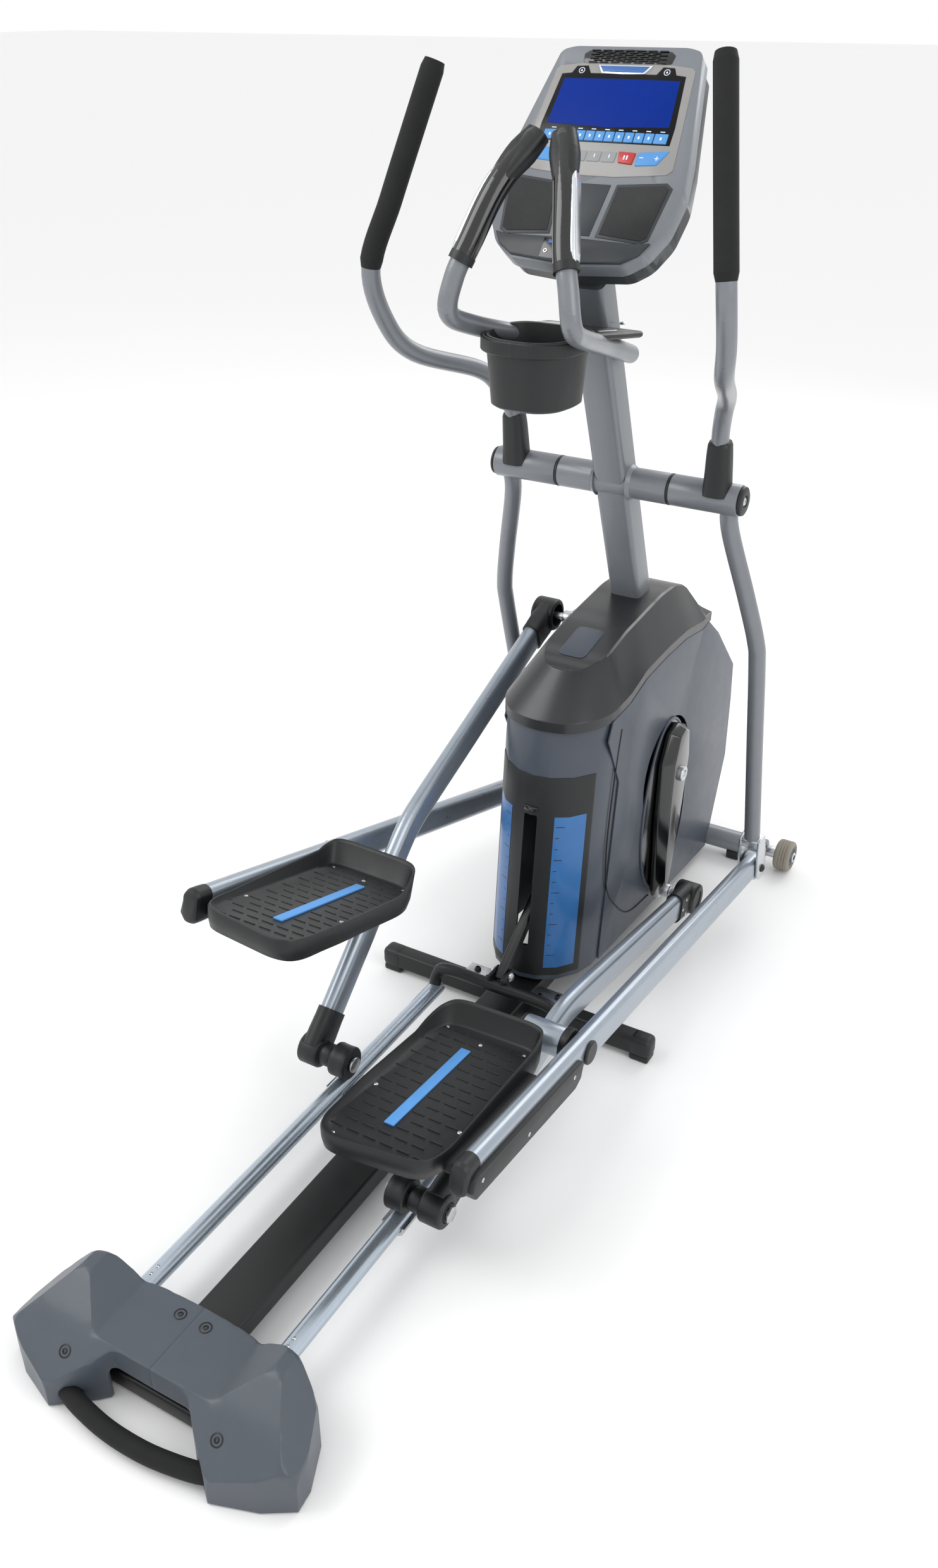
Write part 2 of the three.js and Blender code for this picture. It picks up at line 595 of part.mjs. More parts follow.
function swingArm() {
  const { radius, x, tube, sleeve, sleeveFrom, sleeveTo } = SWING;
  const foot = -radius;
  const leg = sweep(
    [point(226, 0, -12), point(230, 0, -70), point(262, 0, -200), point(284, 0, -300), point(x, 0, -360),
      point(x, 0, -560), point(x, 0, foot + 70)],
    round(2 * tube),
    24,
  );
  const plates = [x - 23.5, x + 17.7].map((x0) =>
    prismX([[-17, foot + 88], [-24, foot + 40], [-24, foot - 12], [-14, foot - 24], [14, foot - 24], [24,
      foot - 12], [24, foot + 40], [17, foot + 88]], x0, x0 + 5.8),
  );
  return cut(
    join(
      leg,
      ...plates,
      box(x - 23, x + 23, -17, 17, foot + 66, foot + 88),
      disc(6, x - 22, x + 22, 0, foot),
      disc(sleeve, sleeveFrom, sleeveTo, 0, 0),
      sweep([point(206, -6, 14), point(206, 5, 84)], round(44)),
    ),
    disc(20 + CLEARANCE, 100, 260, 0, 0),
  );
}

const handlePath = [
  point(206, 5, 85), point(207, 9, 120), point(217, 8, 164), point(238, -43, 222), point(281, -166, 315),
  point(300, -205, 390), point(302, -213, 490), point(278, -156, 578), point(253, -96, 666), point(229,
    -38, 752),
];

const SIDES = [
  { name: "right", mirror: false, crankTurn: rad(CRANK.restTurn) },
  { name: "left", mirror: true, crankTurn: rad(CRANK.restTurn + 180) },
];

for (const { name, mirror, crankTurn } of SIDES) {
  const at = linkageAt(crankTurn);
  const add = (piece, geometry, finish, frame = { y: 0, z: 0, turn: 0 }) => {
    const there = placed(geometry, frame);
    part(`${piece}_${name}`, mirror ? mirrored(there) : there, finish);
  };
  const axleFrame = { ...at.arm, turn: 0 };
  add("crank_arm", crankArm(), ZINC, at.crank);
  add("pedal_arm", pedalArm(), SATIN_SILVER, at.arm);
  add(
    "pin_housing",
    cut(
      armHousing(PIN.housing, PIN.from, PIN.to, ARM.chord, -1, armFall(ARM.chord - 1)),
      disc(PIN.bore, PIN.from - 5, PIN.to - 6, ARM.chord, 0),
    ),
    BLACK_PLASTIC,
    at.arm,
  );
  add(
    "roller_housing",
    cut(
      join(armHousing(HOUSING.radius, HOUSING.from, HOUSING.to, 0, 1, armRise(1)), disc(HOUSING.boss,
        153, 180, 0, 0)),
      disc(HOUSING.bush + CLEARANCE, 140, 240, 0, 0),
    ),
    BLACK_PLASTIC,
    at.arm,
  );
  add("roller_bush", cut(disc(HOUSING.bush, 154, 221, 0, 0), disc(ROLLER.axle + CLEARANCE, 140, 240, 0,
    0)), IRON, axleFrame);
  add(
    "roller_axle",
    join(disc(ROLLER.axle, 109, 226, 0, 0), disc(15, 222, 228, 0, 0), disc(15, 107, 113, 0, 0)),
    ZINC,
    axleFrame,
  );
  add(
    "roller",
    cut(disc(ROLLER.radius, ROLLER.from, ROLLER.to, 0, 0, 30), disc(ROLLER.axle + CLEARANCE, 100, 200, 0, 0)),
    BLACK_PLASTIC,
    axleFrame,
  );
  const keeper = sweep([point(RAIL.x, -30, 0), point(RAIL.x, 30, 0)], round(2 * RAIL.radius + 12, 20));
  add(
    "rail_keeper",
    cut(keeper, sweep([point(RAIL.x, -40, 0), point(RAIL.x, 40, 0)], round(2 * RAIL.radius + 2, 20)),
      box(RAIL.x - 40, RAIL.x + 40, -50, 50, 1, 40)),
    BLACK_PLASTIC,
    { y: at.arm.y, z: RAIL.z, turn: 0 },
  );
  add("link_arm", linkArm(), SATIN_SILVER, at.link);
  add("pedal_tray", pedalTray(), BLACK_PLASTIC, at.link);
  add("side_cover", sideCover(), GLOSS_BLACK, at.link);
  add("swing_arm", swingArm(), PAINTED_GREY, at.swing);
  add(
    "swing_bush",
    cut(disc(20, SWING.sleeveFrom, SWING.sleeveTo, 0, 0), disc(AXLE.pin + CLEARANCE, 100, 260, 0, 0)),
    BLACK_PLASTIC,
    at.swing,
  );
  add("handle_tube", sweep(handlePath, round(2 * HANDLE.radius), 20), PAINTED_GREY, at.swing);
  add(
    "foam_grip",
    cut(sweep(tailOf(handlePath, 0.62), round(2 * HANDLE.grip), 8), sweep(handlePath,
      round(2 * HANDLE.radius + 1.6), 20)),
    FOAM,
    at.swing,
  );
}

// ---- transport wheels ----
for (const side of [-1, 1]) {
  const span = (a, b) => (side > 0 ? [a, b] : [-b, -a]);
  const tyre = disc(WHEEL.radius, ...span(WHEEL.from, WHEEL.to), STABILISER.y, STABILISER.z, 28);
  const bore = disc(WHEEL.stub + CLEARANCE, ...span(260, 340), STABILISER.y, STABILISER.z);
  part(side > 0 ? "wheel_right" : "wheel_left", cut(tyre, bore), RUBBER);
}

export default trainer;
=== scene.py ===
import json
import logging
import math
from collections.abc import Callable, Iterable, Sequence
from dataclasses import dataclass, field
from enum import Enum

import bmesh
import bpy
from mathutils import Matrix, Vector
from mathutils.bvhtree import BVHTree


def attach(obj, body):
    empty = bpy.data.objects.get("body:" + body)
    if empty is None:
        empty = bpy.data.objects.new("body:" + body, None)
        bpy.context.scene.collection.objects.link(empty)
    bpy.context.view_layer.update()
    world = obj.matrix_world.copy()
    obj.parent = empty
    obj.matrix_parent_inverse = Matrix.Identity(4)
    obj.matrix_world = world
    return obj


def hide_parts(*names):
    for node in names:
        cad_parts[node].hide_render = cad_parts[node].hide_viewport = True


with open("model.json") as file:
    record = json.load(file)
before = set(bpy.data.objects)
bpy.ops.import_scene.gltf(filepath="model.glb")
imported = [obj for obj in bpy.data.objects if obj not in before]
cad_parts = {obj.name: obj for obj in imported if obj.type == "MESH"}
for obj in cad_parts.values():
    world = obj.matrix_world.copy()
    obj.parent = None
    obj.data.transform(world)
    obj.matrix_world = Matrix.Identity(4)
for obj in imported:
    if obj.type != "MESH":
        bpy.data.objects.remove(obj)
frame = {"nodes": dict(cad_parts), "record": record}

log = logging.getLogger("trainer")
Pair = tuple[float, float]
Triple = tuple[float, float, float]
MM = 0.001
# Sub-assemblies are drawn from the handles' axle, which stands this far ahead of the origin.
AHEAD = 529.5
TO_ROW = Matrix.Scale(MM, 4) @ Matrix.Translation((0, AHEAD, 0))


# ---- finishes ----


class Pattern(Enum):
    """How a surface's fine relief runs."""

    GRAIN = "spark-eroded mould grain"
    BRUSHED = "drawn lines"
    FOAM = "closed-cell skin"
    SLATS = "fine slanted slats"
    SMOOTH = "no relief"


@dataclass(frozen=True)
class Finish:
    """A surface finish, named for the real material and the way it was made."""

    name: str
    slot: str
    colour: str
    roughness: float
    metallic: float = 0.0
    pattern: Pattern = Pattern.GRAIN
    size_mm: float = 1.2
    relief: float = 0.12
    vary: float = 0.08
    coat: float = 0.0
    glow: float = 0.0
    ior: float = 1.5


# Powder coat over steel tube: a soft even sheen with faint orange peel.
GREY_ENAMEL = Finish("grey_powder_coat", "painted_grey", "#75797e", 0.38, 0.3, size_mm=2.0, relief=0.05, coat=0.25)
# Metallic lacquer on drawn tube: bluish silver, broad soft highlights.
SILVER_LACQUER = Finish("silver_lacquer", "satin_silver", "#98a1ab", 0.3, 0.65, size_mm=2.5, relief=0.03, coat=0.35)
# Galvanised and drawn rail: smooth bluish zinc with broad, faint patches of gloss.
GALVANISED = Finish("galvanised_steel", "galvanised", "#b4bfca", 0.27, 0.8, size_mm=7.0, relief=0.02, vary=0.06)
# Bright zinc plate on brackets, arms and bolts, brushed before plating.
ZINC = Finish("zinc_plate", "zinc", "#c4c7ca", 0.28, 0.95, Pattern.BRUSHED, 0.8, 0.05, 0.12)
# Black powder coat, slightly pebbled.
BLACK_COAT = Finish("black_powder_coat", "black_paint", "#0f1012", 0.42, 0.1, size_mm=1.5, relief=0.1)
# Moulded ABS with a fine spark-eroded grain, as on trays and housings.
BLACK_ABS = Finish("black_moulded_abs", "black_plastic", "#101214", 0.46, size_mm=1.3, relief=0.22)
# Polished ABS: a mirror-like black that picks up dust-soft reflections.
GLOSS_ABS = Finish("polished_black_abs", "gloss_black", "#0a0b0d", 0.16, pattern=Pattern.SMOOTH, vary=0.1, coat=0.5)
# Dark blue-grey moulded shell with a leather-fine grain.
SHELL_ABS = Finish("blue_grey_moulded_abs", "blue_grey", "#3d444f", 0.42, size_mm=1.5, relief=0.16, coat=0.1)
# The same moulding for the rear cover, a shade greyer.
REAR_ABS = Finish("grey_blue_moulded_abs", "blue_grey", "#434a53", 0.42, size_mm=1.5, relief=0.16, coat=0.1)
# Charcoal ABS of the top cap: satin, with a grain that blurs the lights.
CAP_ABS = Finish("charcoal_moulded_abs", "charcoal", "#1b1d20", 0.32, size_mm=1.5, relief=0.16, coat=0.12)
# Mid-grey ABS of the console: satin and nearly smooth.
CONSOLE_ABS = Finish("grey_console_abs", "console_grey", "#70757b", 0.4, size_mm=1.0, relief=0.1, coat=0.1)
# Silver paint over ABS: a soft metallic sheen.
BEZEL_ABS = Finish("silver_painted_abs", "console_grey", "#8d8c8b", 0.4, 0.1, size_mm=1.0, relief=0.05, coat=0.2)
# Dark grey ABS: a dull satin.
LEDGE_ABS = Finish("dark_grey_moulded_abs", "console_grey", "#303438", 0.42, size_mm=1.0, relief=0.12)
# Closed-cell foam sleeve: dull, with a fine pitted skin.
FOAM = Finish("closed_cell_foam", "foam", "#0c0d0e", 0.85, pattern=Pattern.FOAM, size_mm=1.6, relief=0.5, vary=0.18)
# Tan rubber tyre: dull and a little dusty.
TYRE = Finish("tan_rubber_tyre", "rubber", "#8a8478", 0.75, size_mm=1.2, relief=0.3, vary=0.15)
# Grey nylon: a waxy half-gloss.
HUB = Finish("grey_nylon_hub", "rubber", "#6d6f72", 0.5, size_mm=1.0, relief=0.12)
# Moulded silicone key in pale blue: soft and even.
KEY_PALE = Finish("pale_blue_silicone_key", "key_blue", "#4a8fcf", 0.5, size_mm=0.8, relief=0.06)
# Moulded silicone in a deeper blue, slightly glossier.
PAD_BLUE = Finish("blue_silicone_pad", "key_blue", "#2f5f9f", 0.42, size_mm=0.8, relief=0.06)
# Moulded silicone key in light grey.
KEY_GREY = Finish("grey_silicone_key", "console_grey", "#8f9193", 0.5, size_mm=0.8, relief=0.06)
# Moulded red key under a thin clear coat.
KEY_RED = Finish("red_silicone_key", "key_red", "#b3262a", 0.4, size_mm=0.8, relief=0.06, coat=0.2)
# Clear window printed black behind: near black, with dim reflections.
GLASS = Finish("black_display_window", "gloss_black", "#050608", 0.16, pattern=Pattern.SMOOTH, vary=0.1, ior=1.3)
# Blue liquid-crystal display: a flat deep blue with a very faint glow.
LCD = Finish("deep_blue_lcd", "gloss_black", "#0a2a80", 0.4, pattern=Pattern.SMOOTH, vary=0.1, glow=0.08, ior=1.15)
# Blue printed film under clear laminate: a flat colour with a thin gloss.
PRINT_BLUE = Finish("blue_printed_film", "key_blue", "#22629f", 0.4, pattern=Pattern.SMOOTH, vary=0.12, coat=0.3)
# Pale printed ink of ticks and signs: flat.
PRINT_PALE = Finish("pale_printed_film", "key_blue", "#dfe7f0", 0.4, pattern=Pattern.SMOOTH, vary=0.05)
# Slatted cloth over a speaker: black with fine slanted lines.
SLATTED = Finish("slatted_speaker_cloth", "black_plastic", "#101113", 0.5, 0.0, Pattern.SLATS, 3.2, 0.6)
# Light blue rubber tread strip: dull, lightly grained.
STRIP_BLUE = Finish("light_blue_tread_strip", "key_blue", "#4f8fd0", 0.5, size_mm=1.0, relief=0.15)
# Dark cast iron: rough, with a dull metallic glint.
CAST = Finish("dark_cast_iron", "iron", "#33353a", 0.5, 0.7, size_mm=2.0, relief=0.2)
# Polished steel contact plate: bright, with faint drawn lines.
PLATE = Finish("polished_contact_plate", "satin_silver", "#d9dde1", 0.2, 0.9, Pattern.BRUSHED, 0.8, 0.03, 0.06)


def linear(colour: str, gain: float = 1.0) -> tuple[float, float, float, float]:
    """Turns an sRGB hex value to linear light.

    Args:
        colour: The value, such as "#8d9196".
        gain: A factor on the linear value, for lighter and darker shades.

    Returns:
        Linear red, green, blue and alpha.
    """
    parts = [int(colour[i : i + 2], 16) / 255 for i in (1, 3, 5)]
    flat = [p / 12.92 if p <= 0.04045 else ((p + 0.055) / 1.055) ** 2.4 for p in parts]
    return (*(min(1.0, p * gain) for p in flat), 1.0)


def add_node(tree: bpy.types.NodeTree, kind: str, links: dict | None = None, **settings: object) -> bpy.types.Node:
    """Adds a shader node.

    Args:
        tree: The material's node tree.
        kind: The node's type name.
        links: Input name to the output socket that feeds it.
        **settings: Node properties, or input values whose names start with "in_".

    Returns:
        The new node.
    """
    node = tree.nodes.new(kind)
    for key, value in settings.items():
        if key.startswith("in_"):
            node.inputs[key[3:].replace("_", " ")].default_value = value
        else:
            setattr(node, key, value)
    for key, socket in (links or {}).items():
        tree.links.new(socket, node.inputs[key])
    return node


def material(finish: Finish) -> bpy.types.Material:
    """Builds a finish's node material once, and gives it back each time.

    Args:
        finish: The finish to build.

    Returns:
        The material.
    """
    ready = bpy.data.materials.get(finish.name)
    if ready:
        return ready
    made = bpy.data.materials.new(finish.name)
    made.use_nodes = True
    tree = made.node_tree
    shader = tree.nodes["Principled BSDF"]
    shader.inputs["Metallic"].default_value = finish.metallic
    shader.inputs["Coat Weight"].default_value = finish.coat
    shader.inputs["Coat Roughness"].default_value = 0.12
    shader.inputs["IOR"].default_value = finish.ior
    if finish.glow:
        shader.inputs["Emission Color"].default_value = linear(finish.colour)
        shader.inputs["Emission Strength"].default_value = finish.glow
    place = add_node(tree, "ShaderNodeTexCoord")
    # Broad uneven patches a few centimetres across, as handling and moulding leave.
    patches = add_node(
        tree, "ShaderNodeTexNoise", {
            "Vector": place.outputs["Object"]
        }, in_Scale=28.0, in_Detail=4.0, in_Roughness=0.6
    )
    stretch = (0.06, 1.0, 1.0) if finish.pattern is Pattern.BRUSHED else (1.0, 1.0, 1.0)
    scaled = add_node(tree, "ShaderNodeMapping", {"Vector": place.outputs["Object"]}, in_Scale=stretch)
    fine = fine_pattern(tree, finish, scaled.outputs["Vector"])
    blend = patches.outputs["Fac"]
    shade = add_node(tree, "ShaderNodeMix", {"Factor": blend}, data_type="RGBA")
    shade.inputs["A"].default_value = linear(finish.colour, 1 - finish.vary)
    shade.inputs["B"].default_value = linear(finish.colour, 1 + finish.vary)
    tree.links.new(shade.outputs["Result"], shader.inputs["Base Color"])
    low, high = max(0.03, finish.roughness - 0.07), finish.roughness + 0.07
    gloss = add_node(tree, "ShaderNodeMapRange", {"Value": blend}, in_To_Min=low, in_To_Max=high)
    tree.links.new(gloss.outputs["Result"], shader.inputs["Roughness"])
    if finish.pattern is not Pattern.SMOOTH:
        bump = add_node(tree, "ShaderNodeBump", {"Height": fine}, in_Strength=finish.relief, in_Distance=0.0006)
        tree.links.new(bump.outputs["Normal"], shader.inputs["Normal"])
    return made


def fine_pattern(tree: bpy.types.NodeTree, finish: Finish, place: bpy.types.NodeSocket) -> bpy.types.NodeSocket:
    """Adds the fine relief of a finish.

    Args:
        tree: The material's node tree.
        finish: The finish.
        place: The scaled position socket.

    Returns:
        The relief's height socket, from 0 to 1.
    """
    per_metre = 1 / (finish.size_mm * MM)
    if finish.pattern is Pattern.FOAM:
        return add_node(tree, "ShaderNodeTexVoronoi", {"Vector": place}, in_Scale=per_metre).outputs["Distance"]
    if finish.pattern is Pattern.SLATS:
        lines = add_node(
            tree, "ShaderNodeTexWave", {"Vector": place}, wave_type="BANDS", bands_direction="DIAGONAL",
            in_Scale=per_metre / 6.28 * 3, in_Distortion=0.0,
        )
        return lines.outputs["Fac"]
    return add_node(tree, "ShaderNodeTexNoise", {"Vector": place}, in_Scale=per_metre, in_Detail=2.0).outputs["Fac"]


# ---- shapes, all in millimetres until a piece is made ----


@dataclass(frozen=True)
class Place:
    """A side-view frame that a sub-assembly is drawn in."""

    y: float = 0.0
    z: float = 0.0
    turn: float = 0.0
    mirror: bool = False

    def matrix(self) -> Matrix:
        """The matrix from the frame to the row frame, in millimetres."""
        flip = Matrix.Diagonal((-1 if self.mirror else 1, 1, 1, 1))
        return flip @ Matrix.Translation((0, self.y, self.z)) @ Matrix.Rotation(self.turn, 4, "X")


HERE = Place()


def make(
    name: str,
    bm: bmesh.types.BMesh,
    finish: Finish,
    body: str,
    place: Place = HERE,
    replaces: Iterable[str] = (),
    crease: float = 32.0,
) -> bpy.types.Object:
    """Turns a bmesh into a piece on a CAD body.

    Args:
        name: The piece's name.
        bm: Its shape in millimetres, in the frame of place.
        finish: Its finish.
        body: The CAD body that it moves with.
        place: The frame it was drawn in.
        replaces: The CAD nodes that it stands for.
        crease: The angle in degrees above which an edge stays sharp.

    Returns:
        The finished object.
    """
    bmesh.ops.transform(bm, matrix=TO_ROW @ place.matrix(), verts=bm.verts)
    if place.mirror:
        bmesh.ops.reverse_faces(bm, faces=bm.faces)
    mesh = bpy.data.meshes.new(name)
    bm.to_mesh(mesh)
    bm.free()
    mesh.shade_smooth()
    mesh.set_sharp_from_angle(angle=math.radians(crease))
    mesh.materials.append(material(finish))
    thing = bpy.data.objects.new(name, mesh)
    bpy.context.scene.collection.objects.link(thing)
    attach(thing, body)
    if replaces:
        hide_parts(*replaces)
    log.info("%s on %s, %d faces", name, body, len(mesh.polygons))
    return thing


def smooth_path(points: Sequence[Triple], each: int = 6) -> list[Vector]:
    """Carries a Catmull-Rom curve through points.

    Args:
        points: The points it passes.
        each: Steps between two points.

    Returns:
        The points along the curve.
    """
    p = [Vector(q) for q in points]
    p = [2 * p[0] - p[1], *p, 2 * p[-1] - p[-2]]
    out = []
    for i in range(1, len(p) - 2):
        a, b, c, d = p[i - 1 : i + 3]
        for k in range(each):
            t = k / each
            out.append(
                0.5 * (2 * b + (c - a) * t + (2 * a - 5 * b + 4 * c - d) * t**2 + (3 * b - a - 3 * c + d) * t**3)
            )
    return [*out, p[-2]]


def round_section(radius: float, sides: int = 28) -> list[Pair]:
    """The outline of a round section."""
    return [(radius * math.cos(math.tau * i / sides), radius * math.sin(math.tau * i / sides)) for i in range(sides)]


def flat_oval(wide: float, high: float, sides: int = 28) -> list[Pair]:
    """The outline of a flat-sided section with half-round top and bottom.

    Args:
        wide: Its width, and the diameter of its ends.
        high: Its height over both ends.
        sides: The number of points.

    Returns:
        The outline.
    """
    turns = [math.tau * (i + 0.5) / sides for i in range(sides)]
    lift = (high - wide) / 2
    return [(wide / 2 * math.cos(t), wide / 2 * math.sin(t) + math.copysign(lift, math.sin(t))) for t in turns]


def rounded(wide: float, high: float, corner: float, steps: int = 5) -> list[Pair]:
    """The outline of a rectangle with round corners, about its middle.

    Args:
        wide: Its width.
        high: Its height.
        corner: The corners' radius.
        steps: Steps round each corner.

    Returns:
        The outline.
    """
    out = []
    for k, (sx, sy) in enumerate([(1, 1), (-1, 1), (-1, -1), (1, -1)]):
        cx, cy = sx * (wide / 2 - corner), sy * (high / 2 - corner)
        for i in range(steps + 1):
            t = math.pi / 2 * (k + i / steps)
            out.append((cx + corner * math.cos(t), cy + corner * math.sin(t)))
    return out


def rect(x0: float, y0: float, x1: float, y1: float) -> list[Pair]:
    """The outline of a rectangle between two corners."""
    return [(x0, y0), (x1, y0), (x1, y1), (x0, y1)]


def span(side: int, near: float, far: float) -> Pair:
    """The low and high ends of a stretch on one side of the middle."""
    return (side * near, side * far) if side > 0 else (side * far, side * near)


def both_sides(half: Sequence[Pair]) -> list[Pair]:
    """An outline of x >= 0 with its mirror image added."""
    return [*half, *((-x, y) for x, y in reversed(half) if x > 0.01)]


def sweep(
    path: Sequence[Vector | Triple],
    section: Sequence[Pair],
    side: Triple = (1, 0, 0),
    size: Callable[[float], float] | None = None,
) -> bmesh.types.BMesh:
    """Extrudes a section along a path, step by step.

    Args:
        path: The points it follows.
        section: The outline, whose first axis starts along side.
        side: The direction of the section's first axis.
        size: The section's scale at a share of the path, from 0 to 1.

    Returns:
        The closed bar.
    """
    points = [Vector(p) for p in path]
    across = Vector(side)
    frames = []
    for i, at in enumerate(points):
        ahead = (points[min(i + 1, len(points) - 1)] - points[max(i - 1, 0)]).normalized()
        across = (across - ahead * across.dot(ahead)).normalized()
        up = ahead.cross(across)
        grow = size(i / (len(points) - 1)) if size else 1.0
        basis = Matrix((across * grow, up * grow, ahead)).transposed().to_4x4()
        frames.append(Matrix.Translation(at) @ basis)
    bm = bmesh.new()
    end = bm.faces.new([bm.verts.new(frames[0] @ Vector((a, b, 0))) for a, b in section])
    for here, there in zip(frames, frames[1:]):
        grown = bmesh.ops.extrude_face_region(bm, geom=[end])["geom"]
        moved = [v for v in grown if isinstance(v, bmesh.types.BMVert)]
        bmesh.ops.transform(bm, matrix=there @ here.inverted(), verts=moved)
        end = next(f for f in grown if isinstance(f, bmesh.types.BMFace))
    bmesh.ops.recalc_face_normals(bm, faces=bm.faces)
    return bm


def soft_ends(count: int) -> Callable[[float], float]:
    """A size that rounds off both ends of a swept bar of so many steps."""
    edge = 1.2 / count
    return lambda t: 0.86 if t < edge / 2 or t > 1 - edge / 2 else 1.0


def bevelled(bm: bmesh.types.BMesh, width: float, angle: float = 40.0, segments: int = 3) -> bmesh.types.BMesh:
    """Rounds the sharp edges of a shape.

    Args:
        bm: The shape.
        width: The bevel's width.
        angle: Edges sharper than this, in degrees, are rounded.
        segments: Faces across the bevel.

    Returns:
        The same shape.
    """
    sharp = [e for e in bm.edges if e.is_manifold and e.calc_face_angle(0) > math.radians(angle)]
    bmesh.ops.bevel(
        bm, geom=sharp, offset=width, offset_type="OFFSET", segments=segments, profile=0.5,
        affect="EDGES", clamp_overlap=True, material=-1,
    )
    return bm


def slab(outline: Sequence[Pair], axis: str, low: float, high: float, width: float = 1.5) -> bmesh.types.BMesh:
    """A flat plate with rounded edges.

    Args:
        outline: Its outline: (y, z) for axis X, (x, z) for Y, (x, y) for Z.
        axis: The direction of its thickness.
        low: Where it starts on that axis.
        high: Where it ends.
        width: The bevel on its edges, or 0.

    Returns:
        The plate.
    """
    spread = {"X": lambda a, b: (low, a, b), "Y": lambda a, b: (a, low, b), "Z": lambda a, b: (a, b, low)}[axis]
    push = {"X": (1, 0, 0), "Y": (0, 1, 0), "Z": (0, 0, 1)}[axis]
    bm = bmesh.new()
    face = bm.faces.new([bm.verts.new(spread(a, b)) for a, b in outline])
    grown = bmesh.ops.extrude_face_region(bm, geom=[face])["geom"]
    moved = [v for v in grown if isinstance(v, bmesh.types.BMVert)]
    bmesh.ops.translate(bm, vec=Vector(push) * (high - low), verts=moved)
    bmesh.ops.recalc_face_normals(bm, faces=bm.faces)
    return bevelled(bm, width, 30.0) if width else bm


def block(low: Triple, high: Triple, width: float = 2.0) -> bmesh.types.BMesh:
    """A box between two corners with rounded edges."""
    (x0, y0, z0), (x1, y1, z1) = low, high
    return slab(rect(x0, y0, x1, y1), "Z", z0, z1, width)


def lathe(
    profile: Sequence[Pair], at: Triple = (0, 0, 0), axis: Triple = (1, 0, 0), steps: int = 40
) -> bmesh.types.BMesh:
    """Spins a profile about an axis.

    Args:
        profile: (along, radius) pairs, from the axis back to the axis.
        at: The point that along is measured from.
        axis: The direction of the axis.
        steps: Faces round the turn.

    Returns:
        The turned shape.
    """
    bm = bmesh.new()
    points = [bm.verts.new((a, 0, r)) for a, r in profile]
    edges = [bm.edges.new(pair) for pair in zip(points, points[1:])]
    bmesh.ops.spin(
        bm, geom=[*points, *edges], cent=(0, 0, 0), axis=(1, 0, 0), dvec=(0, 0, 0), angle=math.tau,
        steps=steps, use_merge=True, use_normal_flip=False, use_duplicate=False,
    )
    bmesh.ops.remove_doubles(bm, verts=bm.verts, dist=1e-3)
    bmesh.ops.recalc_face_normals(bm, faces=bm.faces)
    turn = Vector((1, 0, 0)).rotation_difference(Vector(axis)).to_matrix().to_4x4()
    bmesh.ops.transform(bm, matrix=Matrix.Translation(at) @ turn, verts=bm.verts)
    return bm


def drum(low: float, high: float, radius: float, edge: float = 1.5) -> list[Pair]:
    """The profile of a disc or pin with rounded rims."""
    return [
        (low, 0), (low, radius - edge), (low + 0.3 * edge, radius - 0.3 * edge), (low + edge, radius),
        (high - edge, radius), (high - 0.3 * edge, radius - 0.3 * edge), (high, radius - edge), (high, 0),
    ]


def pipe(low: float, high: float, radius: float, bore: float) -> list[Pair]:
    """The profile of a sleeve with a bore, closed on itself."""
    return [
        (low, bore), (low, radius - 1), (low + 1, radius), (high - 1, radius), (high, radius - 1), (high, bore),
        (low, bore),
    ]


def together(*parts: bmesh.types.BMesh) -> bmesh.types.BMesh:
    """Puts several closed shapes into one piece.

    Args:
        *parts: The shapes; the first takes up the others, which are freed.

    Returns:
        The first shape, with the others in it.
    """
    bm = parts[0]
    for other in parts[1:]:
        loose = bpy.data.meshes.new("loose")
        other.to_mesh(loose)
        bm.from_mesh(loose)
        bpy.data.meshes.remove(loose)
        other.free()
    return bm


def carved(bm: bmesh.types.BMesh, *cutters: bmesh.types.BMesh) -> bmesh.types.BMesh:
    """Cuts closed shapes out of a shape.

    Args:
        bm: The shape that is cut.
        *cutters: The shapes that cut it.

    Returns:
        The shape that is left.
    """
    def thing(shape: bmesh.types.BMesh) -> bpy.types.Object:
        """A short-lived object of a shape."""
        mesh = bpy.data.meshes.new("carving")
        shape.to_mesh(mesh)
        shape.free()
        made = bpy.data.objects.new("carving", mesh)
        bpy.context.scene.collection.objects.link(made)
        return made

    whole, tools = thing(bm), [thing(c) for c in cutters]
    for tool in tools:
        step = whole.modifiers.new("cut", "BOOLEAN")
        step.operation, step.object, step.solver, step.use_self = "DIFFERENCE", tool, "EXACT", True
    graph = bpy.context.evaluated_depsgraph_get()
    left = bmesh.new()
    left.from_mesh(bpy.data.meshes.new_from_object(whole.evaluated_get(graph)))
    for used in (whole, *tools):
        bpy.data.meshes.remove(used.data)
    return left


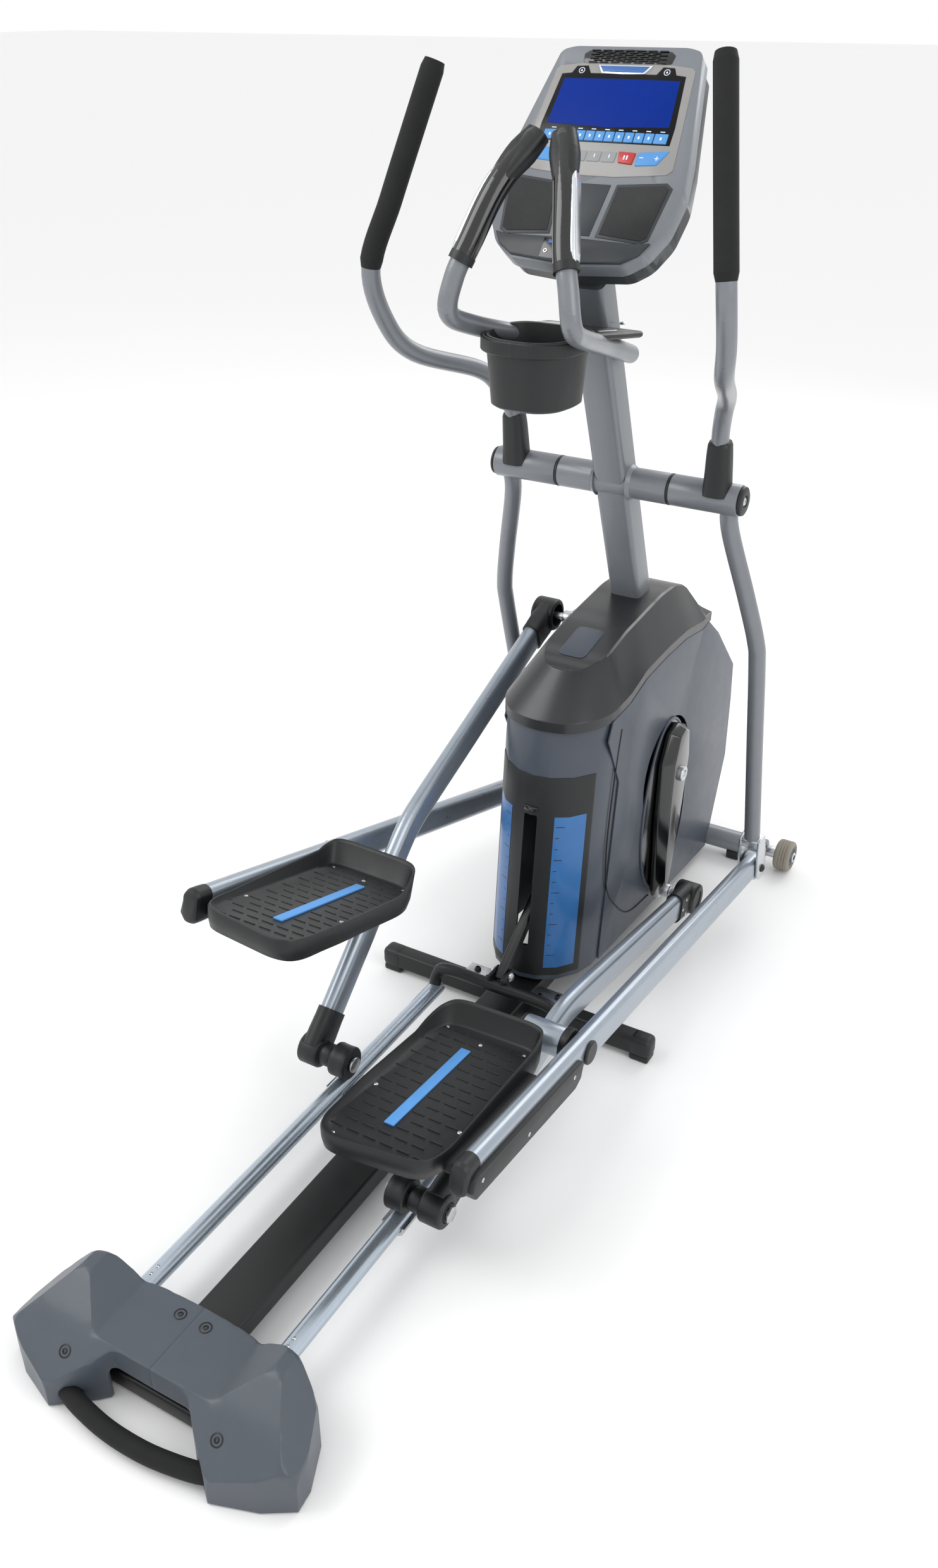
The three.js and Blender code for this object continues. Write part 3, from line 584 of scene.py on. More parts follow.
def softened(node: str, width: float, angle: float = 24.0, segments: int = 3, corner: float = 0.0,
             along: Triple = (0, 0, 1)) -> bmesh.types.BMesh:
    """A copy of a CAD node's shape with its edges rounded.

    Args:
        node: The CAD node.
        width: The bevel's width.
        angle: Edges sharper than this, in degrees, are rounded.
        segments: Faces across the bevel.
        corner: A larger radius that edges along one direction get first.
        along: That direction.

    Returns:
        The copy, in millimetres.
    """
    bm = bmesh.new()
    bm.from_mesh(frame["nodes"][node].data)
    bmesh.ops.transform(bm, matrix=TO_ROW.inverted(), verts=bm.verts)
    bmesh.ops.remove_doubles(bm, verts=bm.verts, dist=0.02)
    bmesh.ops.dissolve_limit(bm, angle_limit=math.radians(1.5), verts=bm.verts, edges=bm.edges)
    if corner:
        upright = [e for e in bm.edges if e.is_manifold and e.calc_face_angle(0) > 0.2
                   and abs((e.verts[0].co - e.verts[1].co).normalized().dot(Vector(along))) > 0.9]
        bmesh.ops.bevel(
            bm, geom=upright, offset=corner, offset_type="OFFSET", segments=5, profile=0.5,
            affect="EDGES", clamp_overlap=True, material=-1,
        )
    return bevelled(bm, width, angle, segments)


def stacked(rings: Sequence[Sequence[Triple]]) -> tuple[bmesh.types.BMesh, list[list[bmesh.types.BMVert]]]:
    """Joins closed rings of the same count with a skin that is open at both ends.

    Args:
        rings: The rings, in order.

    Returns:
        The skin, and the vertices of its first and last ring.
    """
    bm = bmesh.new()
    loops = []
    for ring in rings:
        points = [bm.verts.new(p) for p in ring]
        loops.append((points, [bm.edges.new(pair) for pair in zip(points, points[1:] + points[:1])]))
    for (_, low), (_, high) in zip(loops, loops[1:]):
        bmesh.ops.bridge_loops(bm, edges=low + high)
    return bm, [loops[0][0], loops[-1][0]]


def capped(rings: Sequence[Sequence[Triple]]) -> bmesh.types.BMesh:
    """Joins closed rings of the same count, and closes each end with one face."""
    bm, ends = stacked(rings)
    for points in ends:
        bm.faces.new(points)
    bmesh.ops.recalc_face_normals(bm, faces=bm.faces)
    return bm


def loft(rings: Sequence[Sequence[Triple]]) -> bmesh.types.BMesh:
    """Joins closed rings of the same count, and closes the ends with strips.

    Args:
        rings: The rings, whose second half mirrors the first across x = 0.

    Returns:
        The skin.
    """
    bm, ends = stacked(rings)
    for points in ends:
        count = len(points)
        for i in range(count // 2):
            strip = [points[i], points[i + 1], points[-i - 1], points[-i]] if i else [
                points[0], points[1], points[-1]
            ]
            kept = list(dict.fromkeys(strip))
            if len(kept) > 2 and bm.faces.get(kept) is None:
                bm.faces.new(kept)
    bmesh.ops.recalc_face_normals(bm, faces=bm.faces)
    return bm


def level(line: Sequence[Pair], y: float) -> float:
    """The height of a side-view line, whose y rises, at a distance along the machine.

    Args:
        line: The line, as (y, z).
        y: The distance along the machine.

    Returns:
        The height, which stays level beyond both ends.
    """
    if y <= line[0][0]:
        return line[0][1]
    for (y0, z0), (y1, z1) in zip(line, line[1:]):
        if y <= y1:
            return z0 + (z1 - z0) * (y - y0) / (y1 - y0)
    return line[-1][1]


def eased(outline: Sequence[Pair], radius: float, steps: int = 6) -> list[Vector]:
    """Rounds the corners of a closed outline.

    Args:
        outline: Its corners.
        radius: How far from each corner the curve starts, at most.
        steps: Steps round each corner.

    Returns:
        The points of the rounded outline.
    """
    corners = [Vector(p) for p in outline]
    out = []
    for i, b in enumerate(corners):
        a, c = corners[i - 1], corners[(i + 1) % len(corners)]
        start = b.lerp(a, min(0.48, radius / (a - b).length))
        end = b.lerp(c, min(0.48, radius / (c - b).length))
        for k in range(steps + 1):
            t = k / steps
            out.append(start * (1 - t) ** 2 + b * (2 * t * (1 - t)) + end * t**2)
    return out


def layered(outline: Sequence[Vector], layers: Sequence[tuple[float, Callable[[float], float]]]) -> bmesh.types.BMesh:
    """A moulding made of one plan outline, pulled in and set at a height layer by layer.

    Args:
        outline: The plan outline.
        layers: For each ring, how far it is pulled in and its height at each y.

    Returns:
        The closed moulding.
    """
    centre = sum(outline, Vector((0, 0))) / len(outline)
    rings = []
    for inset, height in layers:
        spots = [centre + (p - centre) * (1 - inset / (p - centre).length) for p in outline]
        rings.append([(q.x, q.y, height(q.y)) for q in spots])
    return capped(rings)


def relaxed(bm: bmesh.types.BMesh, cuts: int, rounds: int) -> bmesh.types.BMesh:
    """Subdivides a moulding and eases its facets, except along the middle joint.

    Args:
        bm: The moulding.
        cuts: Cuts in each edge.
        rounds: Smoothing rounds.

    Returns:
        The same moulding.
    """
    bmesh.ops.triangulate(bm, faces=bm.faces)
    longest, joint_half, rim_top = 9, 1.5, 4
    for _ in range(cuts):
        long = [e for e in bm.edges if e.calc_length() > longest]
        bmesh.ops.subdivide_edges(bm, edges=long, cuts=1, use_grid_fill=False)
        bmesh.ops.triangulate(bm, faces=[f for f in bm.faces if len(f.verts) > 3])
    free = [v for v in bm.verts if abs(v.co.x) > joint_half and v.co.z > rim_top]
    for _ in range(rounds):
        bmesh.ops.smooth_vert(bm, verts=free, factor=0.5, use_axis_x=True, use_axis_y=True, use_axis_z=True)
    return bm


def bolt(at: Triple, axis: Triple, radius: float = 5.0, head: float = 4.0) -> bmesh.types.BMesh:
    """A button-head bolt with a socket, standing on a surface.

    Args:
        at: The middle of the head's underside.
        axis: The way the head points.
        radius: The head's radius.
        head: The head's height.

    Returns:
        The bolt.
    """
    r, h = radius, head
    profile = [
        (-1, 0), (-1, r), (h * 0.3, r), (h * 0.8, r * 0.75), (h, r * 0.5), (h, r * 0.42), (h * 0.3, r * 0.38),
        (h * 0.3, 0),
    ]
    return lathe(profile, at, axis, 20)


# ---- sub-assemblies ----

JOINTS = {joint["name"]: joint for joint in frame["record"]["behaviour"]["joints"]}
ROOT = "frame"
SIDES = (("left", -1), ("right", 1))
# The middle of the axle that the rails tilt on.
RAIL_PIVOT = (0, -1400, 64)


def joint_at(name: str) -> Vector:
    """Where a joint's axis crosses the side view, as (y, z) in millimetres."""
    _, y, z = JOINTS[name]["pos_m"]
    return Vector((y, z)) / MM - Vector((AHEAD, 0))


def mast_y(z: float) -> float:
    """The mast's centreline at a height."""
    return 4 - 0.389 * (z - 1013)


@dataclass
class Base:
    """Spine beam, feet, cross tubes, wheels, rear cover and lift handle."""

    spine_half: float = 42.0
    spine_top: float = 64.0
    tube_y: float = 416.0
    tube_z: float = 40.0
    tube_radius: float = 25.0
    tube_half: float = 255.0
    wheel_radius: float = 36.5
    bar_y: float = -365.0

    def build(self) -> None:
        """Builds every piece of the base."""
        self.spine()
        self.stabiliser()
        self.crossbar()
        self.brackets()
        self.wheels()
        self.rear_cover()

    def spine(self) -> None:
        """The flat beam with its rear bar, foot pads and bearing post."""
        half, top = self.spine_half, self.spine_top
        parts = [
            block((-half, -1420, 24), (half, 390, top), 5),
            block((-215, -1440, 8), (215, -1400, 40), 5),
            block((-20, 60, top - 2), (20, 122, 402), 4),
        ]
        for side in (-1, 1):
            parts.append(lathe(drum(0, 10, 18), (side * 200, -1420, 0), (0, 0, 1), 24))
            parts.append(lathe(drum(*span(side, 100, 164), 8), RAIL_PIVOT))
            parts += [block((side * x - 6, -1412, 36), (side * x + 6, -1388, 76), 2) for x in (106, 158)]
        make("spine_beam", together(*parts), BLACK_COAT, ROOT, replaces=["base_frame"])

    def stabiliser(self) -> None:
        """The front cross tube with its foot pads and wheel stubs."""
        y, z, radius, half = self.tube_y, self.tube_z, self.tube_radius, self.tube_half
        tube = lathe(drum(-half, half, radius, 3), (0, y, z), steps=48)
        make("stabiliser_tube", tube, GREY_ENAMEL, ROOT, replaces=["front_stabiliser"])
        pads, stubs = [], []
        for side in (-1, 1):
            pads.append(block((side * 180 - 16, y - 21, 0), (side * 180 + 16, y + 21, 24), 5))
            stubs.append(lathe(drum(*span(side, half - 4, 324), 8), (0, y, z), (1, 0, 0), 24))
            stubs.append(lathe(drum(0, 27, 13), (side * (half + 1), y, z), (side, 0, 0), 28))
            stubs.append(lathe(drum(*span(side, 320.4, 324), 12), (0, y, z), (1, 0, 0), 28))
        make("stabiliser_pads", together(*pads), BLACK_ABS, ROOT)
        make("wheel_stubs", together(*stubs), ZINC, ROOT)

    def crossbar(self) -> None:
        """The black middle bar with moulded end caps."""
        bar = sweep([(-290, self.bar_y, 32), (290, self.bar_y, 32)], rounded(36, 40, 7), side=(0, 1, 0))
        make("middle_bar", bar, BLACK_COAT, ROOT, replaces=["mid_crossbar"])
        caps = []
        for side in (-1, 1):
            x0, x1 = span(side, 262, 308)
            caps.append(slab(rect(-384.5, 10.5, -345.5, 53.5), "X", x0, x1, 11))
            caps.append(block((side * 285 - 20, self.bar_y - 17, 0), (side * 285 + 20, self.bar_y + 17, 14), 4))
        make("middle_bar_caps", together(*caps), BLACK_ABS, ROOT)

    def brackets(self) -> None:
        """The zinc plates that bolt the spine to the middle bar."""
        plates, bolts = [], []
        for side in (-1, 1):
            x0, x1 = span(side, 40, 116)
            plates.append(block((x0, -383, 52.3), (x1, -333, 57), 1.5))
            for x, y in ((side * 93, -351), (side * 60, -366)):
                bolts.append(bolt((x, y, 57), (0, 0, 1), 7, 8))
        make("bracket_plates", together(*plates), ZINC, ROOT)
        make("bracket_bolts", together(*bolts), BLACK_COAT, ROOT)

    def wheels(self) -> None:
        """The transport wheels with ribbed rubber treads and nylon hubs."""
        r = self.wheel_radius
        for name, side in SIDES:
            profile = [(283, 27), (283, r - 5), (286, r - 1), (290, r)]
            for groove in (295, 301.5, 308):
                profile += [(groove - 2, r), (groove - 1, r - 1.6), (groove + 1, r - 1.6), (groove + 2, r)]
            profile += [(313, r), (317, r - 1), (320, r - 5), (320, 27), (283, 27)]
            tyre = lathe(profile, steps=56)
            hub = lathe(
                [(284, 9), (284, 26.6), (319, 26.6), (319, 22), (315, 20), (315, 13), (319, 11), (319, 9), (284, 9)],
                steps=40,
            )
            place = Place(self.tube_y, self.tube_z, 0, side < 0)
            make(f"wheel_tread_{name}", tyre, TYRE, f"wheel_body_{name}", place, [f"wheel_{name}"])
            make(f"wheel_hub_{name}", hub, HUB, f"wheel_body_{name}", place)

    def rear_cover(self) -> None:
        """The two cover halves, their screws, and the foam-covered lift handle."""
        for name, side in SIDES:
            shell = relaxed(softened(f"rear_cover_{name}", 8, 20, 2), 4, 14)
            skin = BVHTree.FromBMesh(shell)
            wells, heads = [], []
            for x, y in ((142, -1474), (24, -1352)):
                spot, out, _, _ = skin.ray_cast(Vector((side * x, y, 400)), Vector((0, 0, -1)))
                wells.append(lathe([(-2, 0), (-2, 10), (0.8, 10), (1.2, 8.6), (-1, 7.4), (-1, 0)], spot, out, 28))
                heads.append(bolt(spot - out * 1.2, out, 5.5, 2.4))
            make(f"rear_cover_shell_{name}", shell, REAR_ABS, ROOT, replaces=[f"rear_cover_{name}"], crease=70)
            make(f"rear_cover_wells_{name}", together(*wells), BLACK_ABS, ROOT)
            make(f"rear_cover_screws_{name}", together(*heads), BLACK_COAT, ROOT)
        path = smooth_path([(150, -1441, 24), (150, -1470, 23), (128, -1492, 22), (60, -1507, 22), (0, -1511, 22),
                            (-60, -1507, 22), (-128, -1492, 22), (-150, -1470, 23), (-150, -1441, 24)])
        make("lift_handle_sleeve", sweep(path, round_section(14.8)), FOAM, ROOT, replaces=["lift_handle"])


@dataclass
class Ramp:
    """The tilting rails, their front hoop and the lift link."""

    rail_x: float = 132.0
    rail_z: float = 64.0
    radius: float = 16.0
    front: float = -445.0
    hoop_z: float = 112.0
    lift_pin: Triple = (0, -415, 124)

    def build(self) -> None:
        """Builds the rails, hoop and link."""
        rails, screws = [], []
        for side in (-1, 1):
            x = side * self.rail_x
            rails.append(
                sweep([(x, -1394, self.rail_z), (x, self.front, self.rail_z)], round_section(self.radius, 40))
            )
            rails.append(
                carved(lathe(drum(x - 16, x + 16, 18), RAIL_PIVOT), lathe(drum(x - 20, x + 20, 8.7), RAIL_PIVOT))
            )
            for y in (-1300, -1284):
                screws.append(bolt((x, y, self.rail_z + 15.2), (0, 0, 1), 3.5, 2.5))
        make("ramp_rails", together(*rails), GALVANISED, "ramp", replaces=["ramp_frame"])
        make("rail_screws", together(*screws), ZINC, "ramp")
        x, y, z = self.rail_x, self.front, self.hoop_z
        half = [(x, y - 14, self.rail_z), (x, y - 1, z - 18), (x - 22, y + 3, z)]
        path = smooth_path([(-a, b, c) for a, b, c in half] + [(0, y + 3, z)] + half[::-1])
        hoop = sweep(path, round_section(12), side=(0, 1, 0))
        lugs = [block((s * 14.5 - 3.5, -447, z - 8), (s * 14.5 + 3.5, -403, z + 24), 3) for s in (-1, 1)]
        make("ramp_hoop", together(hoop, *lugs), BLACK_COAT, "ramp")
        pin = lathe(drum(-21, 21, 6), self.lift_pin, steps=24)
        heads = [bolt((s * 18, *self.lift_pin[1:]), (s, 0, 0), 10, 6) for s in (1, -1)]
        make("lift_pin", together(pin, *heads), ZINC, "ramp")
        bar = sweep([(0, -424, 117), self.lift_pin, (0, -202, 286.5)], rounded(20, 26, 5))
        bar = carved(bar, lathe(drum(-20, 20, 6.6), self.lift_pin))
        make("lift_bar", bar, BLACK_COAT, "lift", replaces=["lift_link"])


@dataclass
class Shroud:
    """The drive's side shells, top cap, rear neck and incline panel."""

    panel_half: float = 99.0
    panel_low: float = 84.0
    panel_high: float = 522.0
    lean: float = 0.09
    crank_y: float = 91.0
    crank_z: float = 377.0
    oval_z: float = 292.0
    seam: tuple[Pair, ...] = ((-200, 617), (-121, 623), (-48, 645), (53, 653), (153, 654), (243, 641), (274, 647))
    ridge: tuple[Pair, ...] = ((-299, 668), (-230, 700), (-60, 738), (110, 757), (180, 755), (240, 735), (280, 668))
    skin: list[Pair] = field(default_factory=lambda: [(0, -312), (35, -305), (70, -283), (98, -245), (109.5, -205)])

    def build(self) -> None:
        """Builds the shells and dresses the panel."""
        for name in ("left", "right"):
            make(
                f"shroud_shell_{name}", softened(f"shroud_{name}", 5, 24, 3, 48, (1, 0, 0)), SHELL_ABS, ROOT,
                replaces=[f"shroud_{name}"], crease=40,
            )
        self.cap()
        make("shroud_neck", softened("incline_panel", 2, 40), SHELL_ABS, ROOT, replaces=["incline_panel"], crease=50)
        slot = block((-14, -420, 150), (14, -200, 440), 4)
        panel = carved(
            self.strip(-self.panel_half, self.panel_half, self.panel_low, self.panel_high, 2.0, -3.0), slot
        )
        make("incline_face", panel, BLACK_ABS, ROOT)
        for name, side in SIDES:
            x0, x1 = span(side, 46, 92)
            make(f"incline_scale_{name}", self.strip(x0, x1, 102, 440, 2.6, 1.0), PRINT_BLUE, ROOT)
            marks = [
                self.strip(*span(side, 50, 56 if k % 3 else 64), 130 + 24 * k, 132 + 24 * k, 2.9, 1.5)
                for k in range(13)
            ]
            make(f"incline_marks_{name}", together(*marks), CAP_ABS, ROOT)
        make("slot_ridge", self.strip(-14, 14, 448, 458, 5, 0), GLOSS_ABS, ROOT)
        self.groove()

    def skin_y(self, x: float) -> float:
        """The neck's outer face at a distance from the middle, before its lean.

        Args:
            x: The distance from the middle, on either side.

        Returns:
            The face's y.
        """
        for (x0, y0), (x1, y1) in zip(self.skin, self.skin[1:]):
            if abs(x) <= x1:
                return y0 + (y1 - y0) * (abs(x) - x0) / (x1 - x0)
        return self.skin[-1][1]

    def strip(self, x0: float, x1: float, low: float, high: float, out: float, back: float) -> bmesh.types.BMesh:
        """A strip that follows the neck's curved face.

        Args:
            x0: Its left edge.
            x1: Its right edge.
            low: Its lower edge.
            high: Its upper edge.
            out: How far its face stands out of the neck.
            back: How far its back stands out of the neck.

        Returns:
            The strip.
        """
        stops = sorted({x0, x1, *(s * x for x, _ in self.skin for s in (-1, 1) if x0 < s * x < x1)})
        face = [(x, self.skin_y(x) - out) for x in stops]
        rear = [(x, self.skin_y(x) - back) for x in reversed(stops)]
        bm = slab(face + rear, "Z", low, high, min(0.8, (x1 - x0) / 8, (out - back) / 3))
        tilt = Matrix(((1, 0, 0, 0), (0, 1, self.lean, -self.lean * 437), (0, 0, 1, 0), (0, 0, 0, 1)))
        bmesh.ops.transform(bm, matrix=tilt, verts=bm.verts)
        return bm

    def cap(self) -> None:
        """The cap with its skirt, sloping shoulders, deck and recess."""
        plan = smooth_path(
            [
                (-40, -298, 0), (0, -299, 0), (35, -294, 0), (70, -278, 0), (98, -240, 0), (112, -190, 0),
                (112, -120, 0),
            ],
            4,
        )
        half = [(p.x, p.y) for p in plan[4:-4]] + [(112.0, float(y)) for y in range(-160, 281, 22)] + [
            (112, 285), (0, 285)
        ]
        outline = both_sides([(max(0.0, x), y) for x, y in half])
        plan_back, plan_front, deck_back, deck_front = -299, 285, -212, 266
        rings = []
        for inset, rise, mix in ((0, 0, 0), (0, 20, 0), (2, 23, 0), (0, 0, 0.94), (0, 0, 1)):
            ring = []
            for x, y in outline:
                if mix:
                    deck = level(self.ridge, y)
                    y1 = deck_back + (y - plan_back) * (deck_front - deck_back) / (plan_front - plan_back)
                    z = level(self.ridge, y1) - (3 if mix < 1 else 0)
                    shrink = 0.6 if mix < 1 else 0.56
                    ring.append((x * shrink, y1 if mix < 1 else y1 * 0.99, min(z, deck + 60)))
                else:
                    low = level(self.seam, y)
                    top = min(low + rise, level(self.ridge, y) - 1)
                    ring.append((x * (1 - inset / 112), y + (inset if y < -200 else 0), top if rise else low))
            rings.append(ring)
        make("shroud_cap", bevelled(loft(rings), 3, 22), CAP_ABS, ROOT, replaces=["top_cap"], crease=40)
        slope = math.atan2(38, 170)
        tray = Place(-118, level(self.ridge, -118) + 0.4, slope)
        inlay = slab(rounded(56, 96, 12), "Z", -2, 0.8, 0.6)
        make("cap_recess", inlay, SHELL_ABS, ROOT, tray)

    def crank_oval(self, grow: float, steps: int = 56) -> list[Pair]:
        """The egg-shaped outline of the crank recess.

        Args:
            grow: How much larger than the recess it is.
            steps: Steps round the outline.

        Returns:
            The outline, as (y, z).
        """
        turns = [math.tau * i / steps for i in range(steps)]
        return [
            (
                self.crank_y + (112 + grow) * math.sin(t) * (1 - 0.12 * math.cos(t)),
                self.oval_z + (200 + grow) * math.cos(t),
            )
            for t in turns
        ]

    def groove(self) -> None:
        """The crank recess, filled with painted shade, its lip, and the joint line of the neck on each side."""
        for name, side in SIDES:
            well, lip = self.crank_oval(0), self.crank_oval(6)
            hub = lathe(drum(*span(side, 90, 130), 33, 1), (0, self.crank_y, self.crank_z))
            # The gloss black plate over the recess is painted shade: the dark hollow, and below the hub the crank arm's
            # painted shadow.
            make(f"crank_recess_painted_shade_{name}", carved(slab(well, "X", *span(side, 111.5, 115.2), 1.2), hub), GLOSS_ABS, ROOT)
            hollow = slab(well, "X", *span(side, 100, 130), 0)
            rim = carved(slab(lip, "X", *span(side, 111.5, 116.4), 1.6), hollow)
            make(f"crank_lip_{name}", rim, SHELL_ABS, ROOT)
            line = [
                (side * 113.2, y, z)
                for y, z in ((-159, 585), (-177, 503), (-199, 348), (-190, 240), (-142, 168), (-67, 104), (40, 84))
            ]
            make(f"neck_joint_{name}", sweep(smooth_path(line), round_section(1.7, 10)), BLACK_ABS, ROOT)


@dataclass
class Column:
    """The leaning mast and the fixed cross axle."""

    top: float = 1400.0
    axle_z: float = 1013.0

    def build(self) -> None:
        """Builds the mast, axle, collars and caps."""
        path = [(0, mast_y(70), 70), (0, mast_y(self.top - 6), self.top - 6)]
        make("mast_tube", sweep(path, rounded(66, 60, 11)), GREY_ENAMEL, ROOT, replaces=["mast"])
        at = (0, 0, self.axle_z)
        make("axle_tube", lathe(drum(-112, 112, 29, 2), at, steps=56), GREY_ENAMEL, ROOT, replaces=["cross_axle"])
        welds = [
            lathe([(33, 28), (33, 33.5), (36, 31.5), (40, 29.3), (41, 28), (33, 28)], at, (s, 0, 0), 56)
            for s in (-1, 1)
        ]
        make("axle_welds", together(*welds), GREY_ENAMEL, ROOT)
        rings = [lathe(pipe(112, 116.5, 29.3, 12), at, (s, 0, 0), 56) for s in (-1, 1)]
        caps = [
            lathe(
                [(250.4, 0), (250.4, 25.5), (252, 27), (256, 26), (258, 22), (258, 12), (254.5, 10), (254.5, 0)], at,
                (s, 0, 0), 48,
            )
            for s in (-1, 1)
        ]
        make("axle_rings_and_caps", together(*rings, *caps), BLACK_ABS, ROOT)
        bolts = [bolt((s * 254.5, 0, self.axle_z), (s, 0, 0), 8, 3.4) for s in (-1, 1)]
        make("axle_bolts", together(*bolts), ZINC, ROOT)


@dataclass
class Side:
    """One side's crank arm, pedal arm, link, tray, swing arm and handle."""

    name: str
    mirror: bool
    crank_turn: float
    throw: float = 281.6
    chord: float = 1047.0
    bend: float = 447.0
    rise: float = 95.0
    arm_x: float = 196.0
    link_x: float = 288.0
    link_front: float = 868.0
    link_rear: float = 418.0
    swing_radius: float = 908.0
    grip_step: int = 48

    def body(self, stem: str) -> str:
        """The name of this side's body."""
        return f"{stem}_{self.name}"

    def build(self) -> None:
        """Works out where the linkage stands and builds it."""
        crank = joint_at("crank_turn")
        roller = joint_at(f"bush_turn_{self.name}")
        pivot = joint_at(f"link_turn_{self.name}")
        pin = crank + self.throw * Vector((math.sin(self.crank_turn), -math.cos(self.crank_turn)))
        foot = self.foot(pivot)
        axle = joint_at(f"swing_turn_{self.name}")
        chord = pin - roller
        self.crank_place = Place(*crank, self.crank_turn, self.mirror)
        self.arm_place = Place(*roller, math.atan2(chord.y, chord.x), self.mirror)
        self.link_place = Place(*pivot, math.atan2(foot.y - pivot.y, foot.x - pivot.x), self.mirror)
        self.swing_place = Place(*axle, math.atan2(foot.x - axle.x, axle.y - foot.y), self.mirror)
        self.flat_place = Place(*roller, 0, self.mirror)
        self.crank_arm()
        self.pedal_arm()
        self.housings()
        self.roller()
        self.link()
        self.tray()
        self.swing()
        self.handle()

    def foot(self, pivot: Vector) -> Vector:
        """Where the link's front end meets the swing arm.

        Args:
            pivot: The pedal pivot, as (y, z).

        Returns:
            The lower of the two places that both lengths reach.
        """
        axle = joint_at(f"swing_turn_{self.name}")
        gap = pivot - axle
        d = gap.length
        along = (d * d + self.swing_radius**2 - self.link_front**2) / (2 * d)
        off = math.sqrt(self.swing_radius**2 - along**2)
        unit = gap / d
        across = Vector((-unit.y, unit.x))
        return min((axle + unit * along + across * off * s for s in (1, -1)), key=lambda p: p.y)

    def crank_arm(self) -> None:
        """The zinc crank arm with its pin, hub and gloss cover."""
        tip = -self.throw
        outline = [(-24, -10), (-20, tip), (-12, tip - 20), (12, tip - 20), (20, tip), (24, -10), (14, 24), (-14, 24)]
        arm = together(
            slab(outline, "X", 118.5, 137, 3),
            lathe(drum(100, 119, 30, 2)),
            lathe(drum(136, 213, 7.5, 1), (0, 0, tip), steps=24),
            lathe(drum(137, 156, 15, 2), (0, 0, tip), steps=32),
        )
        make(f"crank_arm_bar_{self.name}", arm, ZINC, "crank", self.crank_place, [f"crank_arm_{self.name}"])
        lower = [
            (-38, 96), (0, 110), (38, 96), (62, 30), (54, -90), (36, -210), (24, tip), (10, tip - 20),
            (-10, tip - 20), (-24, tip), (-36, -210), (-54, -90), (-62, 30),
        ]
        upper = [(y * 0.62, 20 + (z - 20) * 0.9) for y, z in lower]
        cover = capped([[(x, y, z) for y, z in line] for x, line in ((117.6, lower), (128, lower), (146, upper))])
        make(f"crank_cover_{self.name}", bevelled(cover, 3, 12), GLOSS_ABS, "crank", self.crank_place)
        nut = lathe([(145, 0), (145, 17), (153, 17), (155, 15), (155, 9), (152, 8), (152, 0)], steps=36)
        make(f"crank_stub_{self.name}", nut, ZINC, "crank", self.crank_place)

    def rear_up(self, along: float) -> float:
        """The arm's height behind its bend."""
        return self.rise * along / self.bend

    def front_up(self, along: float) -> float:
        """The arm's height in front of its bend."""
        return self.rise * (self.chord - along) / (self.chord - self.bend)

    def pedal_arm(self) -> None:
        """The bent oval arm, its cross tube, bearing ring and round end cap."""
        x = self.arm_x
        points = [(x, a, self.rear_up(a)) for a in (46, 190, 320, 390)] + [(x, self.bend, self.rise - 4)]
        points += [(x, a, self.front_up(a)) for a in (510, 620, 800, self.chord - 46)]
        arm = sweep(smooth_path(points), flat_oval(30, 60))
        at = (0, 327, 130.6)
        saddle = block((x - 14, 303, 84), (x + 14, 351, 122), 4)
        cross = lathe(drum(180, 256, 28, 2.5), at, steps=48)
        make(
            f"pedal_arm_tube_{self.name}", together(arm, saddle, cross), SILVER_LACQUER, self.body("arm"),
            self.arm_place, [f"pedal_arm_{self.name}"],
        )
        ring = lathe([(256, 0), (256, 29), (258, 30), (268, 30), (270, 28), (270, 0)], at, steps=48)
        cap = lathe([(304.4, 0), (304.4, 21), (305.5, 22), (308, 21.5), (310, 19), (310, 0)], at, steps=48)
        end = lathe([(174, 0), (174, 25), (176, 27.6), (180, 27.6), (180, 0)], at, steps=48)
        make(f"pivot_caps_{self.name}", together(ring, cap, end), BLACK_ABS, self.body("arm"), self.arm_place)
        pin = lathe(drum(268, 306, 10, 1), at, steps=28)
        make(f"pivot_pin_{self.name}", pin, ZINC, self.body("arm"), self.arm_place)

    def housings(self) -> None:
        """The moulded housings that hold the arm's two ends, with their screws."""
        body, place = self.body("arm"), self.arm_place
        slopes = (-1, self.chord, self.front_up(self.chord - 1)), (1, 0.0, self.rear_up(1))
        for (away, at, slope), (stem, radius, x0, x1) in zip(
            slopes, (("pin", 34, 172, 222), ("roller", 30, 176, 220))
        ):
            reach = [(self.arm_x, at + away * d, slope * d) for d in (4, 30, 60, 76)]
            shoulder = lambda t: 1.04 if t < 0.5 else 1.0
            profile = [
                (x0, 0), (x0, radius - 5), (x0 + 2, radius - 1.5), (x0 + 5, radius), (x1 - 5, radius),
                (x1 - 2, radius - 1.5), (x1, radius - 5), (x1, radius * 0.6), (x1 - 2.5, radius * 0.55), (
                    x1 - 2.5, 0
                ),
            ]
            pod = together(
                lathe(profile, (0, at, 0), steps=56),
                sweep(reach, flat_oval(38, 68), size=shoulder),
            )
            if stem == "roller":
                pod = together(pod, lathe(drum(153, 178, 22, 3), steps=44))
                pod = carved(pod, lathe(drum(140, 230, 16.5, 1), steps=40))
            else:
                pod = carved(pod, lathe(drum(160, 216, 24, 1), (0, at, 0), steps=40))
            make(f"{stem}_pod_{self.name}", pod, BLACK_ABS, body, place, [f"{stem}_housing_{self.name}"], crease=38)
            screws = [
                bolt((self.arm_x + 18.5, at + away * d, slope * d + h), (1, 0, 0), 4, 2)
                for d, h in ((50, 18), (50, -18), (68, 0))
            ]
            make(f"{stem}_pod_screws_{self.name}", together(*screws), ZINC, body, place)

